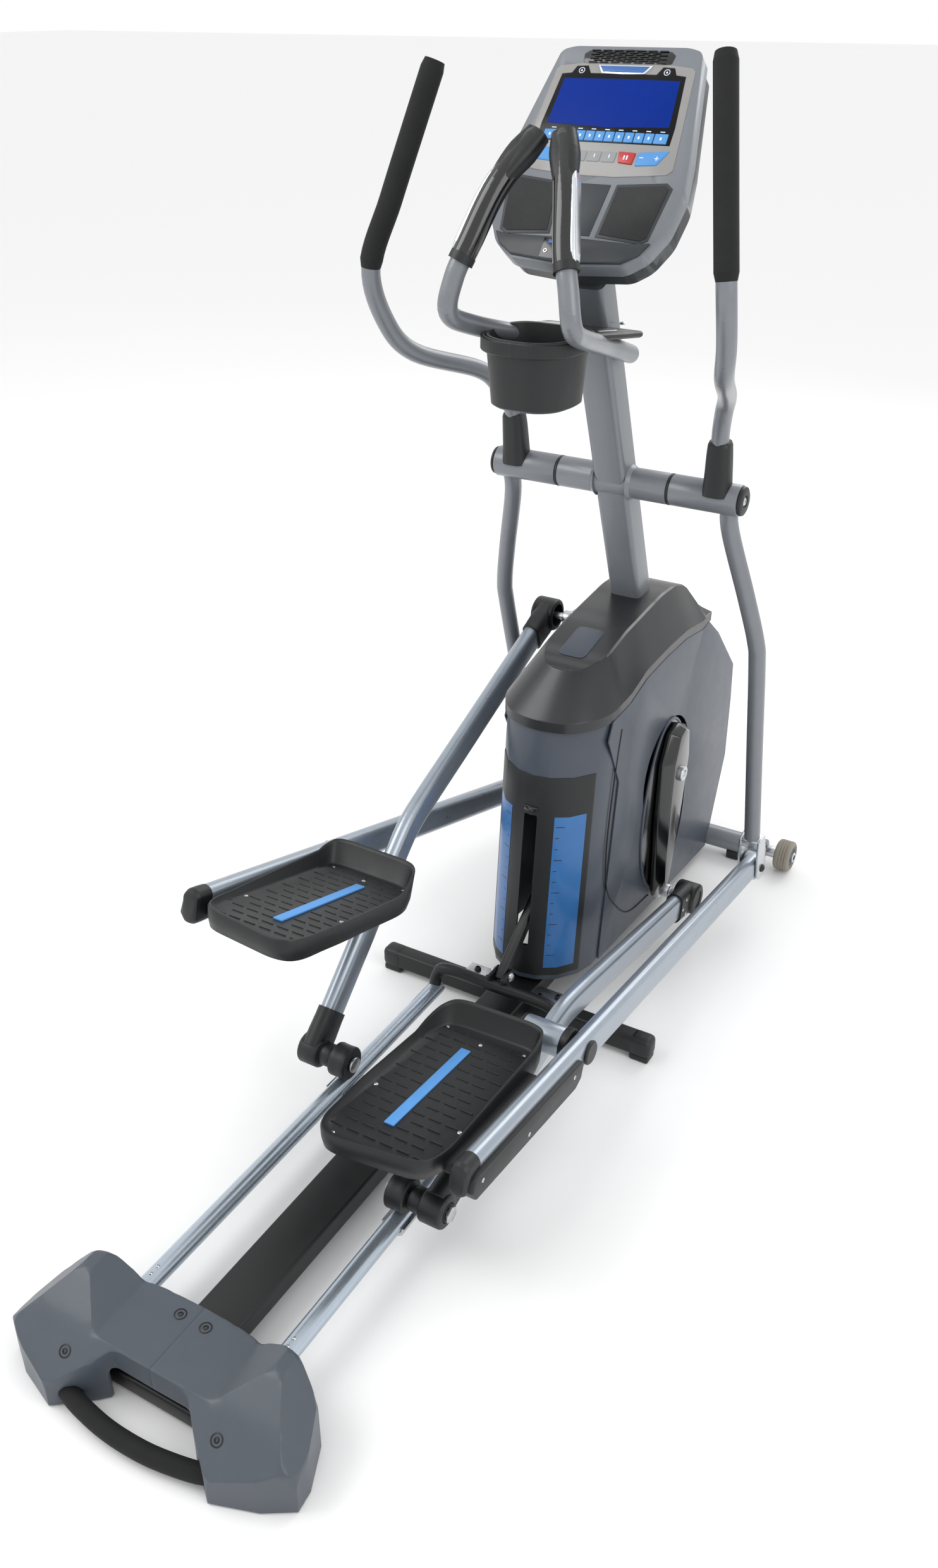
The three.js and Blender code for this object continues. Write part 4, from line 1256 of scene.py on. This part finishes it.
    def roller(self) -> None:
        """The grooved roller, its axle and bush."""
        place, name = self.flat_place, self.name
        tread = [
            (114, 10.7), (114, 28), (116, 31), (118.5, 31.7), (126, 31.2), (132, 31), (138, 31.2), (145.5, 31.7),
            (148, 31), (150, 28), (150, 10.7), (114, 10.7),
        ]
        make(
            f"roller_wheel_{name}", lathe(tread, steps=56), BLACK_ABS, self.body("roller_body"), place,
            [f"roller_{name}"],
        )
        shaft = together(
            lathe(drum(109, 226, 10, 1), steps=32), lathe(drum(222, 228, 15, 1.5), steps=6),
            lathe(drum(107, 112.6, 15, 1.5), steps=32),
        )
        make(f"roller_shaft_{name}", shaft, ZINC, self.body("carriage"), place, [f"roller_axle_{name}"])
        make(
            f"roller_sleeve_{name}", lathe(pipe(154, 221, 16, 10.6), steps=36), CAST, self.body("bush"), place,
            [f"roller_bush_{name}"],
        )

    def link(self) -> None:
        """The straight oval link with its end cap and side cover."""
        body, place, x = self.body("link"), self.link_place, self.link_x
        bar = sweep([(x, 0, 0), (x, self.link_front - 4, 0)], flat_oval(32, 60))
        tail = sweep([(x, -self.link_rear + 14, 0), (x, 0, 0)], flat_oval(32, 60))
        eye = lathe(drum(x - 16, x + 16, 30, 3), (0, self.link_front, 0), steps=48)
        holes = [lathe(drum(x - 30, x + 30, 16, 1), (0, self.link_front, 0)), lathe(drum(x - 30, x + 30, 10.6, 1))]
        bar = carved(together(bar, tail, eye), *holes)
        make(f"link_tube_{self.name}", bar, SILVER_LACQUER, body, place, [f"link_arm_{self.name}"])
        path = [(x, -self.link_rear + d, 0) for d in (40, 24, 10, 3, 0)]
        shrink = lambda t: (1.03, 1.05, 1.04, 0.92, 0.7)[round(t * 4)]
        make(f"link_end_cap_{self.name}", sweep(path, flat_oval(32, 60), size=shrink), BLACK_ABS, body, place)
        cover = [(-34, 2), (-44, 10), (-392, 10), (-406, 2), (-410, -18), (-396, -38), (-60, -38), (-40, -26)]
        make(
            f"link_cover_{self.name}", slab(cover, "X", 292, 312, 4), BLACK_ABS, body, place,
            [f"side_cover_{self.name}"],
        )
        screws = [bolt((311.5, y, z), (1, 0, 0), 4, 1.6) for y, z in ((-70, -8), (-230, -22), (-380, -10))]
        make(f"link_cover_screws_{self.name}", together(*screws), ZINC, body, place)

    def tray(self) -> None:
        """The moulded foot tray with its broken ribs, tread strip and screws."""
        body, place, name = self.body("link"), self.link_place, self.name
        plan = [
            (60, -84), (80, -62), (236, -58), (252, -74), (255, -400), (238, -440), (80, -462), (52, -440),
            (44, -300), (46, -130),
        ]
        rim = ((-470, 20), (-440, 24), (-150, 26), (-96, 50), (-58, 61), (-40, 58))
        outline = eased(plan, 34)
        layers = [(16, lambda y: -18.0), (7, lambda y: -14.0), (2, lambda y: 2.0), (0, lambda y: level(rim, y) - 3),
                  (2, lambda y: level(rim, y)), (5, lambda y: level(rim, y)), (8, lambda y: level(rim, y) - 4),
                  (13, lambda y: 17.0), (18, lambda y: 13.0)]
        lug = block((248, -390, -18), (271, -120, 8), 4)
        make(
            f"tray_{name}", together(layered(outline, layers), lug), BLACK_ABS, body, place, [f"pedal_tray_{name}"],
            crease=50,
        )
        ribs = []
        for row in range(15):
            y = -96 - row * 23
            for col in range(6):
                x0 = 62 + col * 30 + (12 if row % 2 else 0)
                if x0 + 20 < 242 and not (122 < x0 + 10 < 156 and -385 < y < -128):
                    ribs.append(block((x0, y - 1.2, 12), (x0 + 22, y + 1.2, 14.2), 0.6))
        make(f"tray_ribs_{name}", together(*ribs), BLACK_ABS, body, place)
        strip = slab([(129, -136), (147, -136), (149, -376), (131, -376)], "Z", 12.5, 16, 1)
        make(f"tray_strip_{name}", strip, STRIP_BLUE, body, place)
        spots = ((76, -92), (226, -92), (150, -108), (66, -300), (240, -330), (80, -440), (226, -430))
        make(
            f"tray_screws_{name}", together(*(bolt((x, y, 13), (0, 0, 1), 4, 1.8) for x, y in spots)), ZINC, body,
            place,
        )

    def swing(self) -> None:
        """The sleeve, the bowed lower tube and the clevis that holds the link."""
        body, place, x, foot = self.body("swing"), self.swing_place, self.link_x, -self.swing_radius
        leg = sweep(
            smooth_path(
                [
                    (226, 0, -12), (230, 0, -70), (262, 0, -200), (284, 0, -300), (x, 0, -360), (x, 0, -560),
                    (x, 0, foot + 72),
                ]
            ),
            round_section(17), side=(0, 1, 0),
        )
        sleeve = lathe(drum(117, 249.5, 29, 2), steps=56)
        make(
            f"swing_tube_{self.name}", together(leg, sleeve), GREY_ENAMEL, body, place,
            [f"swing_arm_{self.name}", f"swing_bush_{self.name}"],
        )
        outline = [
            (-17, foot + 88), (-24, foot + 40), (-24, foot - 12), (-14, foot - 24), (14, foot - 24), (24, foot - 12),
            (24, foot + 40), (17, foot + 88),
        ]
        plates = [slab(outline, "X", x0, x0 + 5.8, 1.5) for x0 in (x - 23.5, x + 17.7)]
        yoke = block((x - 23, -17, foot + 66), (x + 23, 17, foot + 88), 4)
        pin = lathe(drum(x - 22, x + 23, 6, 1), (0, 0, foot), steps=24)
        make(f"clevis_{self.name}", together(*plates, yoke, pin), ZINC, body, place)
        heads = [bolt((x + s * 23.4, 0, foot), (s, 0, 0), 9, 6) for s in (-1, 1)]
        make(f"clevis_bolt_{self.name}", together(*heads), BLACK_COAT, body, place)
        boot = sweep(smooth_path([(206, -8, 10), (206, -2, 40), (206, 5, 84), (206.5, 8, 108)], 4), rounded(50, 46, 18),
                     size=lambda t: 1.05 - 0.22 * t if t < 0.93 else 0.76)
        make(f"handle_boot_{self.name}", boot, BLACK_ABS, body, place, crease=50)

    def handle(self) -> None:
        """The upper handle tube and its foam grip."""
        body, place = self.body("swing"), self.swing_place
        points = [(206, 5, 85), (208, 4, 125), (219, -10, 172), (238, -43, 222), (281, -166, 315), (300, -205, 390),
                  (302, -213, 490), (278, -156, 578), (253, -96, 666), (229, -38, 750)]
        path = smooth_path(points, 8)
        make(
            f"handle_bar_{self.name}", sweep(path[:-8], round_section(16)), GREY_ENAMEL, body, place,
            [f"handle_tube_{self.name}"],
        )
        sleeve = path[self.grip_step:]
        grip = sweep(sleeve, round_section(19), size=soft_ends(len(sleeve)))
        make(f"grip_sleeve_{self.name}", grip, FOAM, body, place, [f"foam_grip_{self.name}"])


@dataclass
class Console:
    """The control panel on top of the mast."""

    y: float = -112.0
    z: float = 1617.0
    tilt: float = 53.13

    @property
    def place(self) -> Place:
        """The panel's own frame: Y runs up the face and Z out of it."""
        return Place(self.y, self.z, math.radians(self.tilt))

    def build(self) -> None:
        """Builds the case, display, keys, speakers and fan grille."""
        make(
            "console_case", softened("console_shell", 6, 26, 3, 26, (0, -0.8, 0.6)), CONSOLE_ABS, ROOT,
            replaces=["console_shell"], crease=40,
        )
        make(
            "console_rear_case", softened("console_back", 6, 26, 3, 22, (0, -0.8, 0.6)), LEDGE_ABS, ROOT,
            replaces=["console_back"], crease=40,
        )
        self.display()
        self.keys()
        self.fan()
        self.speakers()
        self.ledge()

    def add(
        self, name: str, shape: bmesh.types.BMesh, finish: Finish, body: str = ROOT, replaces: Iterable[str] = ()
    ) -> None:
        """Makes one piece in the panel's frame."""
        make(name, shape, finish, body, self.place, replaces)

    def display(self) -> None:
        """The silver surround, black window with two lobes, and the display."""
        ring = [
            (-122, 104), (-116, 110), (-52, 118), (52, 118), (116, 110), (122, 104), (134, -30), (136, -62),
            (128, -70), (96, -74), (40, -79), (-40, -79), (-96, -74), (-128, -70), (-136, -62), (-134, -30),
        ]
        self.add("display_surround", slab(ring, "Z", -2, 1.2, 1), BEZEL_ABS)
        window = both_sides(
            [(0, 97), (58, 97), (66, 110), (86, 109), (92, 97), (109, 95), (118, 8), (118, -22), (0, -22)]
        )
        self.add("display_window", slab(window, "Z", -1, 1.8, 0.5), GLASS, replaces=["display_glass"])
        self.add("display_screen", slab(both_sides([(0, 88), (102, 87), (108, 8), (0, 4)]), "Z", 0, 2.1, 0.4), LCD)
        rings = []
        for x in (-75, 75):
            rings.append(lathe(pipe(1.2, 2.2, 5.4, 4.2), (x, 101, 0), (0, 0, 1), 28))
            rings.append(slab([(x - 2, 99.6), (x + 2, 99.6), (x, 103.4)], "Z", 1.2, 2.2, 0))
        ticks = [slab(rect(x, -0.4, x + 8, 1), "Z", 1.2, 2.1, 0) for x in range(-96, 100, 24)]
        self.add("display_marks", together(*rings, *ticks), PRINT_PALE)

    def keys(self) -> None:
        """The strip of twelve keys, the two slanted pads and the lower row."""
        widths = [24] + [17.2] * 10 + [24]
        keys, x = [], -108.0
        for width in widths:
            keys.append(slab(rect(x + 0.7, -20, x + width - 0.7, -3), "Z", -1, 3, 1.2))
            x += width
        self.add("key_row", together(*keys), KEY_PALE, replaces=["key_strip"])
        marks, x = [], -108.0
        for width in widths:
            c = x + width / 2
            marks.append(slab(rect(c - 1.2, -14, c + 1.8, -9.4), "Z", 2, 3.2, 0))
            x += width
        signs = []
        for side in (-1, 1):
            pad = [(side * 70, -36), (side * 122, -31), (side * 106, -56), (side * 70, -59)]
            outline = pad if side > 0 else pad[::-1]
            signs.append(slab(outline, "Z", -1, 3, 1.6))
            for c in (78, 104):
                marks.append(slab(rect(side * c - 3.5, -45.6, side * c + 3.5, -44.2), "Z", 2, 3.2, 0))
            marks.append(slab(rect(side * 104 - 0.8, -48.4, side * 104 + 0.8, -41.4), "Z", 2, 3.2, 0))
        self.add("level_pads", together(*signs), KEY_PALE)
        row = [slab(rect(c - 12, -55, c + 12, -37), "Z", -1, 2.6, 1.6) for c in (-57, -31, -5, 21)]
        self.add("lower_keys", together(*row), KEY_GREY)
        bars = [slab(rect(c, -48, c + 1.6, -42), "Z", 2, 2.9, 0) for c in (-57, -31, -5, 21)]
        self.add("key_marks", together(*marks, *bars), PRINT_PALE)
        stop = slab([(40, -55), (64, -57), (66, -37), (36, -36)], "Z", -1.5, 3.8, 1.6)
        self.add("stop_cap", stop, KEY_RED, "stop_button", ["stop_key"])
        stripes = [slab(rect(x, -50, x + 2.4, -43), "Z", 3.5, 4.2, 0) for x in (47.6, 52.6)]
        self.add("stop_marks", together(*stripes), PRINT_PALE, "stop_button")

    def fan(self) -> None:
        """The fan grille with offset slot rows, and the blank nameplate."""
        grille = both_sides([(0, 140), (72, 137), (80, 131), (78, 118), (72, 113), (0, 113)])
        self.add("fan_recess", slab(grille, "Z", -2, 1.2, 0.8), GLOSS_ABS)
        bars = []
        for row in range(7):
            y = 115.6 + row * 3.4
            for col in range(7):
                x = -68 + col * 20 + (8 if row % 2 else 0)
                if x + 15 < 75:
                    bars.append(slab(rect(x, y, x + 15, y + 1.7), "Z", 0, 3, 0.5))
        self.add("fan_louvres", together(*bars), BLACK_ABS)
        frame_plate = both_sides([(0, 111), (48, 111), (38, 96), (0, 95)])
        self.add("nameplate_rim", slab(frame_plate, "Z", 0, 4, 1.2), PLATE)
        self.add(
            "nameplate_field", slab(both_sides([(0, 108.5), (43.5, 108.5), (35.5, 98), (0, 97.5)]), "Z", 2, 4.6, 0.5),
            PAD_BLUE,
        )

    def speakers(self) -> None:
        """The two slanted speaker cloths and the middle panel."""
        for name, side in SIDES:
            cloth = [
                (side * 54, -96), (side * 132, -88), (side * 140, -94), (side * 128, -176), (side * 118, -182),
                (side * 46, -176),
            ]
            rim = [
                (side * 50, -91), (side * 134, -83), (side * 146, -92), (side * 132, -180), (side * 119, -187),
                (side * 40, -181),
            ]
            turn = slice(None, None, side)
            self.add(f"speaker_rim_{name}", slab(rim[turn], "Z", -1, 1, 0.8), LEDGE_ABS)
            self.add(f"speaker_cloth_{name}", slab(cloth[turn], "Z", 0, 2, 0.6), SLATTED)
        middle = [(-40, -92), (40, -92), (30, -180), (-30, -180)]
        self.add("centre_panel", slab(middle[::-1], "Z", -1, 1.2, 0.8), LEDGE_ABS)

    def ledge(self) -> None:
        """The lower ledge with its port and jack recess."""
        ledge = both_sides([(0, -186), (112, -188), (138, -184), (124, -206), (98, -222), (0, -230)])
        self.add("lower_ledge", slab(ledge, "Z", -4, 5, 3), LEDGE_ABS)
        self.add("port_recess", slab([(-44, -224), (-6, -226), (-6, -190), (-44, -190)], "Z", 3, 5.6, 0.8), GLOSS_ABS)
        self.add("port_tongue", slab(rect(-34, -200, -16, -194), "Z", 4, 7, 0.6), PAD_BLUE)
        jacks = [
            lathe([(5, 0), (5, 3.6), (6.6, 3.4), (6.6, 1.8), (5.4, 1.7), (5.4, 0)], (x, -213, 0), (0, 0, 1), 20)
            for x in (-35, -16)
        ]
        self.add("jacks", together(*jacks), ZINC)


@dataclass
class PulseBar:
    """A fixed bar with its moulded grip, thumb rest and contact plate."""

    name: str
    mirror: bool
    points: list[Triple] = field(default_factory=lambda: [
        (51, -80, 1266), (56, -150, 1288), (64, -225, 1309), (94, -370, 1350), (107, -426, 1378),
        (98, -424, 1430), (82, -406, 1477), (57, -361, 1558), (22, -299, 1624)])
    grip_step: int = 45

    def build(self) -> None:
        """Builds the bar, grip, collar, thumb rest and plate."""
        place = Place(mirror=self.mirror)
        path = smooth_path(self.points, 8)
        cut = self.grip_step
        make(
            f"pulse_tube_{self.name}", sweep(path[:cut + 2], round_section(16)), GREY_ENAMEL, ROOT, place,
            [f"pulse_bar_{self.name}"],
        )
        grip = path[cut:]
        make(
            f"pulse_sleeve_{self.name}", sweep(grip, round_section(19.4), size=soft_ends(len(grip))), GLOSS_ABS, ROOT,
            place, [f"pulse_grip_{self.name}"],
        )
        collar = sweep(path[cut - 1:cut + 2], round_section(20.4))
        make(f"pulse_collar_{self.name}", collar, BLACK_ABS, ROOT, place)
        low, high = grip[1], grip[-6]
        run = [low.lerp(high, t / 8) for t in range(9)]
        bend = [min(grip, key=lambda g: (g - p).length) for p in run]
        plate = sweep(
            [b + Vector((15.5, 0, 0)) for b in bend], rounded(12, 26, 5), side=(1, 0, 0),
            size=lambda t: 0.7 if t in (0, 1) else 1.0,
        )
        make(f"contact_plate_{self.name}", plate, PLATE, ROOT, place)
        top = grip[-8:]
        thumb = sweep(
            [p + Vector((0, -2, 1)) for p in top], rounded(46, 34, 13),
            size=lambda t: 1.0 - 0.5 * abs(t - 0.55) ** 1.4,
        )
        make(f"thumb_rest_{self.name}", thumb, BLACK_ABS, ROOT, place)


@dataclass
class CupHolder:
    """The bottle cup and small tray on the mast."""

    shelf: Place = Place(-205, 1321.5, -0.1372)

    def build(self) -> None:
        """Builds the moulding, its rim band, pad and bolts."""
        plan = eased(both_sides([(50, -261), (76, -290), (80, -330), (70, -382), (34, -411)]), 26)
        flat = lambda z: lambda y: z
        bucket = layered(
            plan,
            [
                (15, flat(1230)), (9, flat(1234)), (1, flat(1322)), (0, flat(1342)), (5, flat(1342)), (8, flat(1322)),
                (15, flat(1240)), (22, flat(1236)),
            ],
        )
        make("cup_bucket", bucket, BLACK_ABS, ROOT, replaces=["cup_holder"], crease=50)
        tray = eased(both_sides([(36, 57), (36, 93), (92, 87), (86, 5), (78, -62)]), 9)
        board = layered(tray, [(4, flat(-5)), (0, flat(-2)), (0, flat(3)), (3, flat(5.5))])
        make("cup_shelf", board, BLACK_ABS, ROOT, self.shelf, crease=40)
        half = [(0, -260), (52, -262), (76, -288), (81, -322), (73, -378), (40, -409), (0, -414)]
        ring = [
            (x, y, 1330) for x, y in both_sides([(p.x, p.y) for p in smooth_path([(x, y, 0) for x, y in half], 6)])
        ]
        ring.append(ring[0])
        make("cup_rim", sweep(ring, rounded(8, 24, 3.5), side=(0, 1, 0)), BLACK_ABS, ROOT)
        pad = slab([(-66, -40), (66, -40), (72, 20), (58, 44), (-58, 44), (-72, 20)], "Z", 3, 8, 2)
        make("shelf_pad", pad, GLOSS_ABS, ROOT, self.shelf)
        bolts = [bolt((side * 44, -104, 1320), (0, 0, 1), 5, 3) for side in (-1, 1)]
        make("cup_holder_screws", together(*bolts), ZINC, ROOT)


@dataclass
class Drive:
    """The hidden pulley, flywheel, magnet and lift motor."""

    def build(self) -> None:
        """Gives the kept drive parts their real finishes."""
        parts = {"drive_pulley": CAST, "flywheel": CAST, "brake_magnet": ZINC, "lift_motor": BLACK_COAT}
        for name, finish in parts.items():
            self.dress(name, finish)
        for side in ("left", "right"):
            self.dress(f"rail_keeper_{side}", ZINC)

    def dress(self, node: str, finish: Finish) -> None:
        """Puts a finish in every material slot of a kept CAD node.

        Args:
            node: The CAD node.
            finish: The finish.
        """
        thing = frame["nodes"][node]
        if not thing.material_slots:
            thing.data.materials.append(material(finish))
        for slot in thing.material_slots:
            slot.material = material(finish)


@dataclass
class Studio:
    """The pale floor, soft lights and camera."""

    focal: float = 31.718
    eye: Triple = (1.0465, -1.8024, 1.8107)
    pitch: float = 60.15
    yaw: float = 30.365

    def build(self) -> None:
        """Sets up the floor, world, lights and camera."""
        bm = bmesh.new()
        bmesh.ops.create_grid(bm, x_segments=8, y_segments=8, size=60)
        mesh = bpy.data.meshes.new("studio_floor")
        bm.to_mesh(mesh)
        bm.free()
        # Matt floor paper: nearly white, with no sheen.
        paper = bpy.data.materials.new("matt_floor_paper")
        paper.use_nodes = True
        shader = paper.node_tree.nodes["Principled BSDF"]
        shader.inputs["Base Color"].default_value = linear("#f4f4f4")
        shader.inputs["Roughness"].default_value = 0.9
        mesh.materials.append(paper)
        floor = bpy.data.objects.new("studio_floor", mesh)
        bpy.context.scene.collection.objects.link(floor)
        floor.location.z = -0.0005
        world = bpy.data.worlds.new("studio_air")
        world.use_nodes = True
        world.node_tree.nodes["Background"].inputs["Color"].default_value = (1, 1, 1, 1)
        world.node_tree.nodes["Background"].inputs["Strength"].default_value = 1.0
        bpy.context.scene.world = world
        bpy.context.scene.view_settings.view_transform = "Standard"
        self.lamp("key_softbox", (-2.6, -1.9, 3.8), 75, 2.6)
        self.lamp("fill_softbox", (3.2, -0.9, 2.6), 38, 2.4)
        self.lamp("rim_softbox", (0.4, 3.7, 3.2), 45, 2.2)
        lens = bpy.data.cameras.new("camera")
        lens.sensor_fit, lens.sensor_height, lens.lens = "VERTICAL", 36.0, self.focal
        camera = bpy.data.objects.new("camera", lens)
        camera.location = self.eye
        camera.rotation_euler = (math.radians(self.pitch), 0, math.radians(self.yaw))
        bpy.context.scene.collection.objects.link(camera)
        bpy.context.scene.camera = camera

    def lamp(self, name: str, at: Triple, watts: float, size: float) -> None:
        """Adds a square area lamp that faces the machine's middle.

        Args:
            name: The lamp's name.
            at: Where it stands, in metres.
            watts: Its power.
            size: The length of its sides, in metres.
        """
        light = bpy.data.lights.new(name, "AREA")
        light.energy, light.size = watts, size
        thing = bpy.data.objects.new(name, light)
        thing.location = at
        thing.rotation_euler = (Vector((0, 0.1, 0.8)) - Vector(at)).to_track_quat("-Z", "Y").to_euler()
        bpy.context.scene.collection.objects.link(thing)


def corners(box: Iterable[Iterable[float]]) -> list[list[float]]:
    """A box's two corners as plain lists."""
    return [[float(v) for v in corner] for corner in box]


def main() -> None:
    """Builds the machine from the floor up."""
    logging.basicConfig(level=logging.INFO, format="%(message)s")
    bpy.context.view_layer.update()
    Studio().build()
    # The crank arms' turns from straight down at rest, half a turn apart.
    assemblies = [
        Base(), Ramp(), Drive(), Shroud(), Column(),
        Side("right", False, math.radians(-6.3)), Side("left", True, math.radians(173.7)),
        PulseBar("right", False), PulseBar("left", True), CupHolder(), Console(),
    ]
    for assembly in assemblies:
        log.info("building %s", type(assembly).__name__)
        assembly.build()


if __name__ == "__main__":
    main()
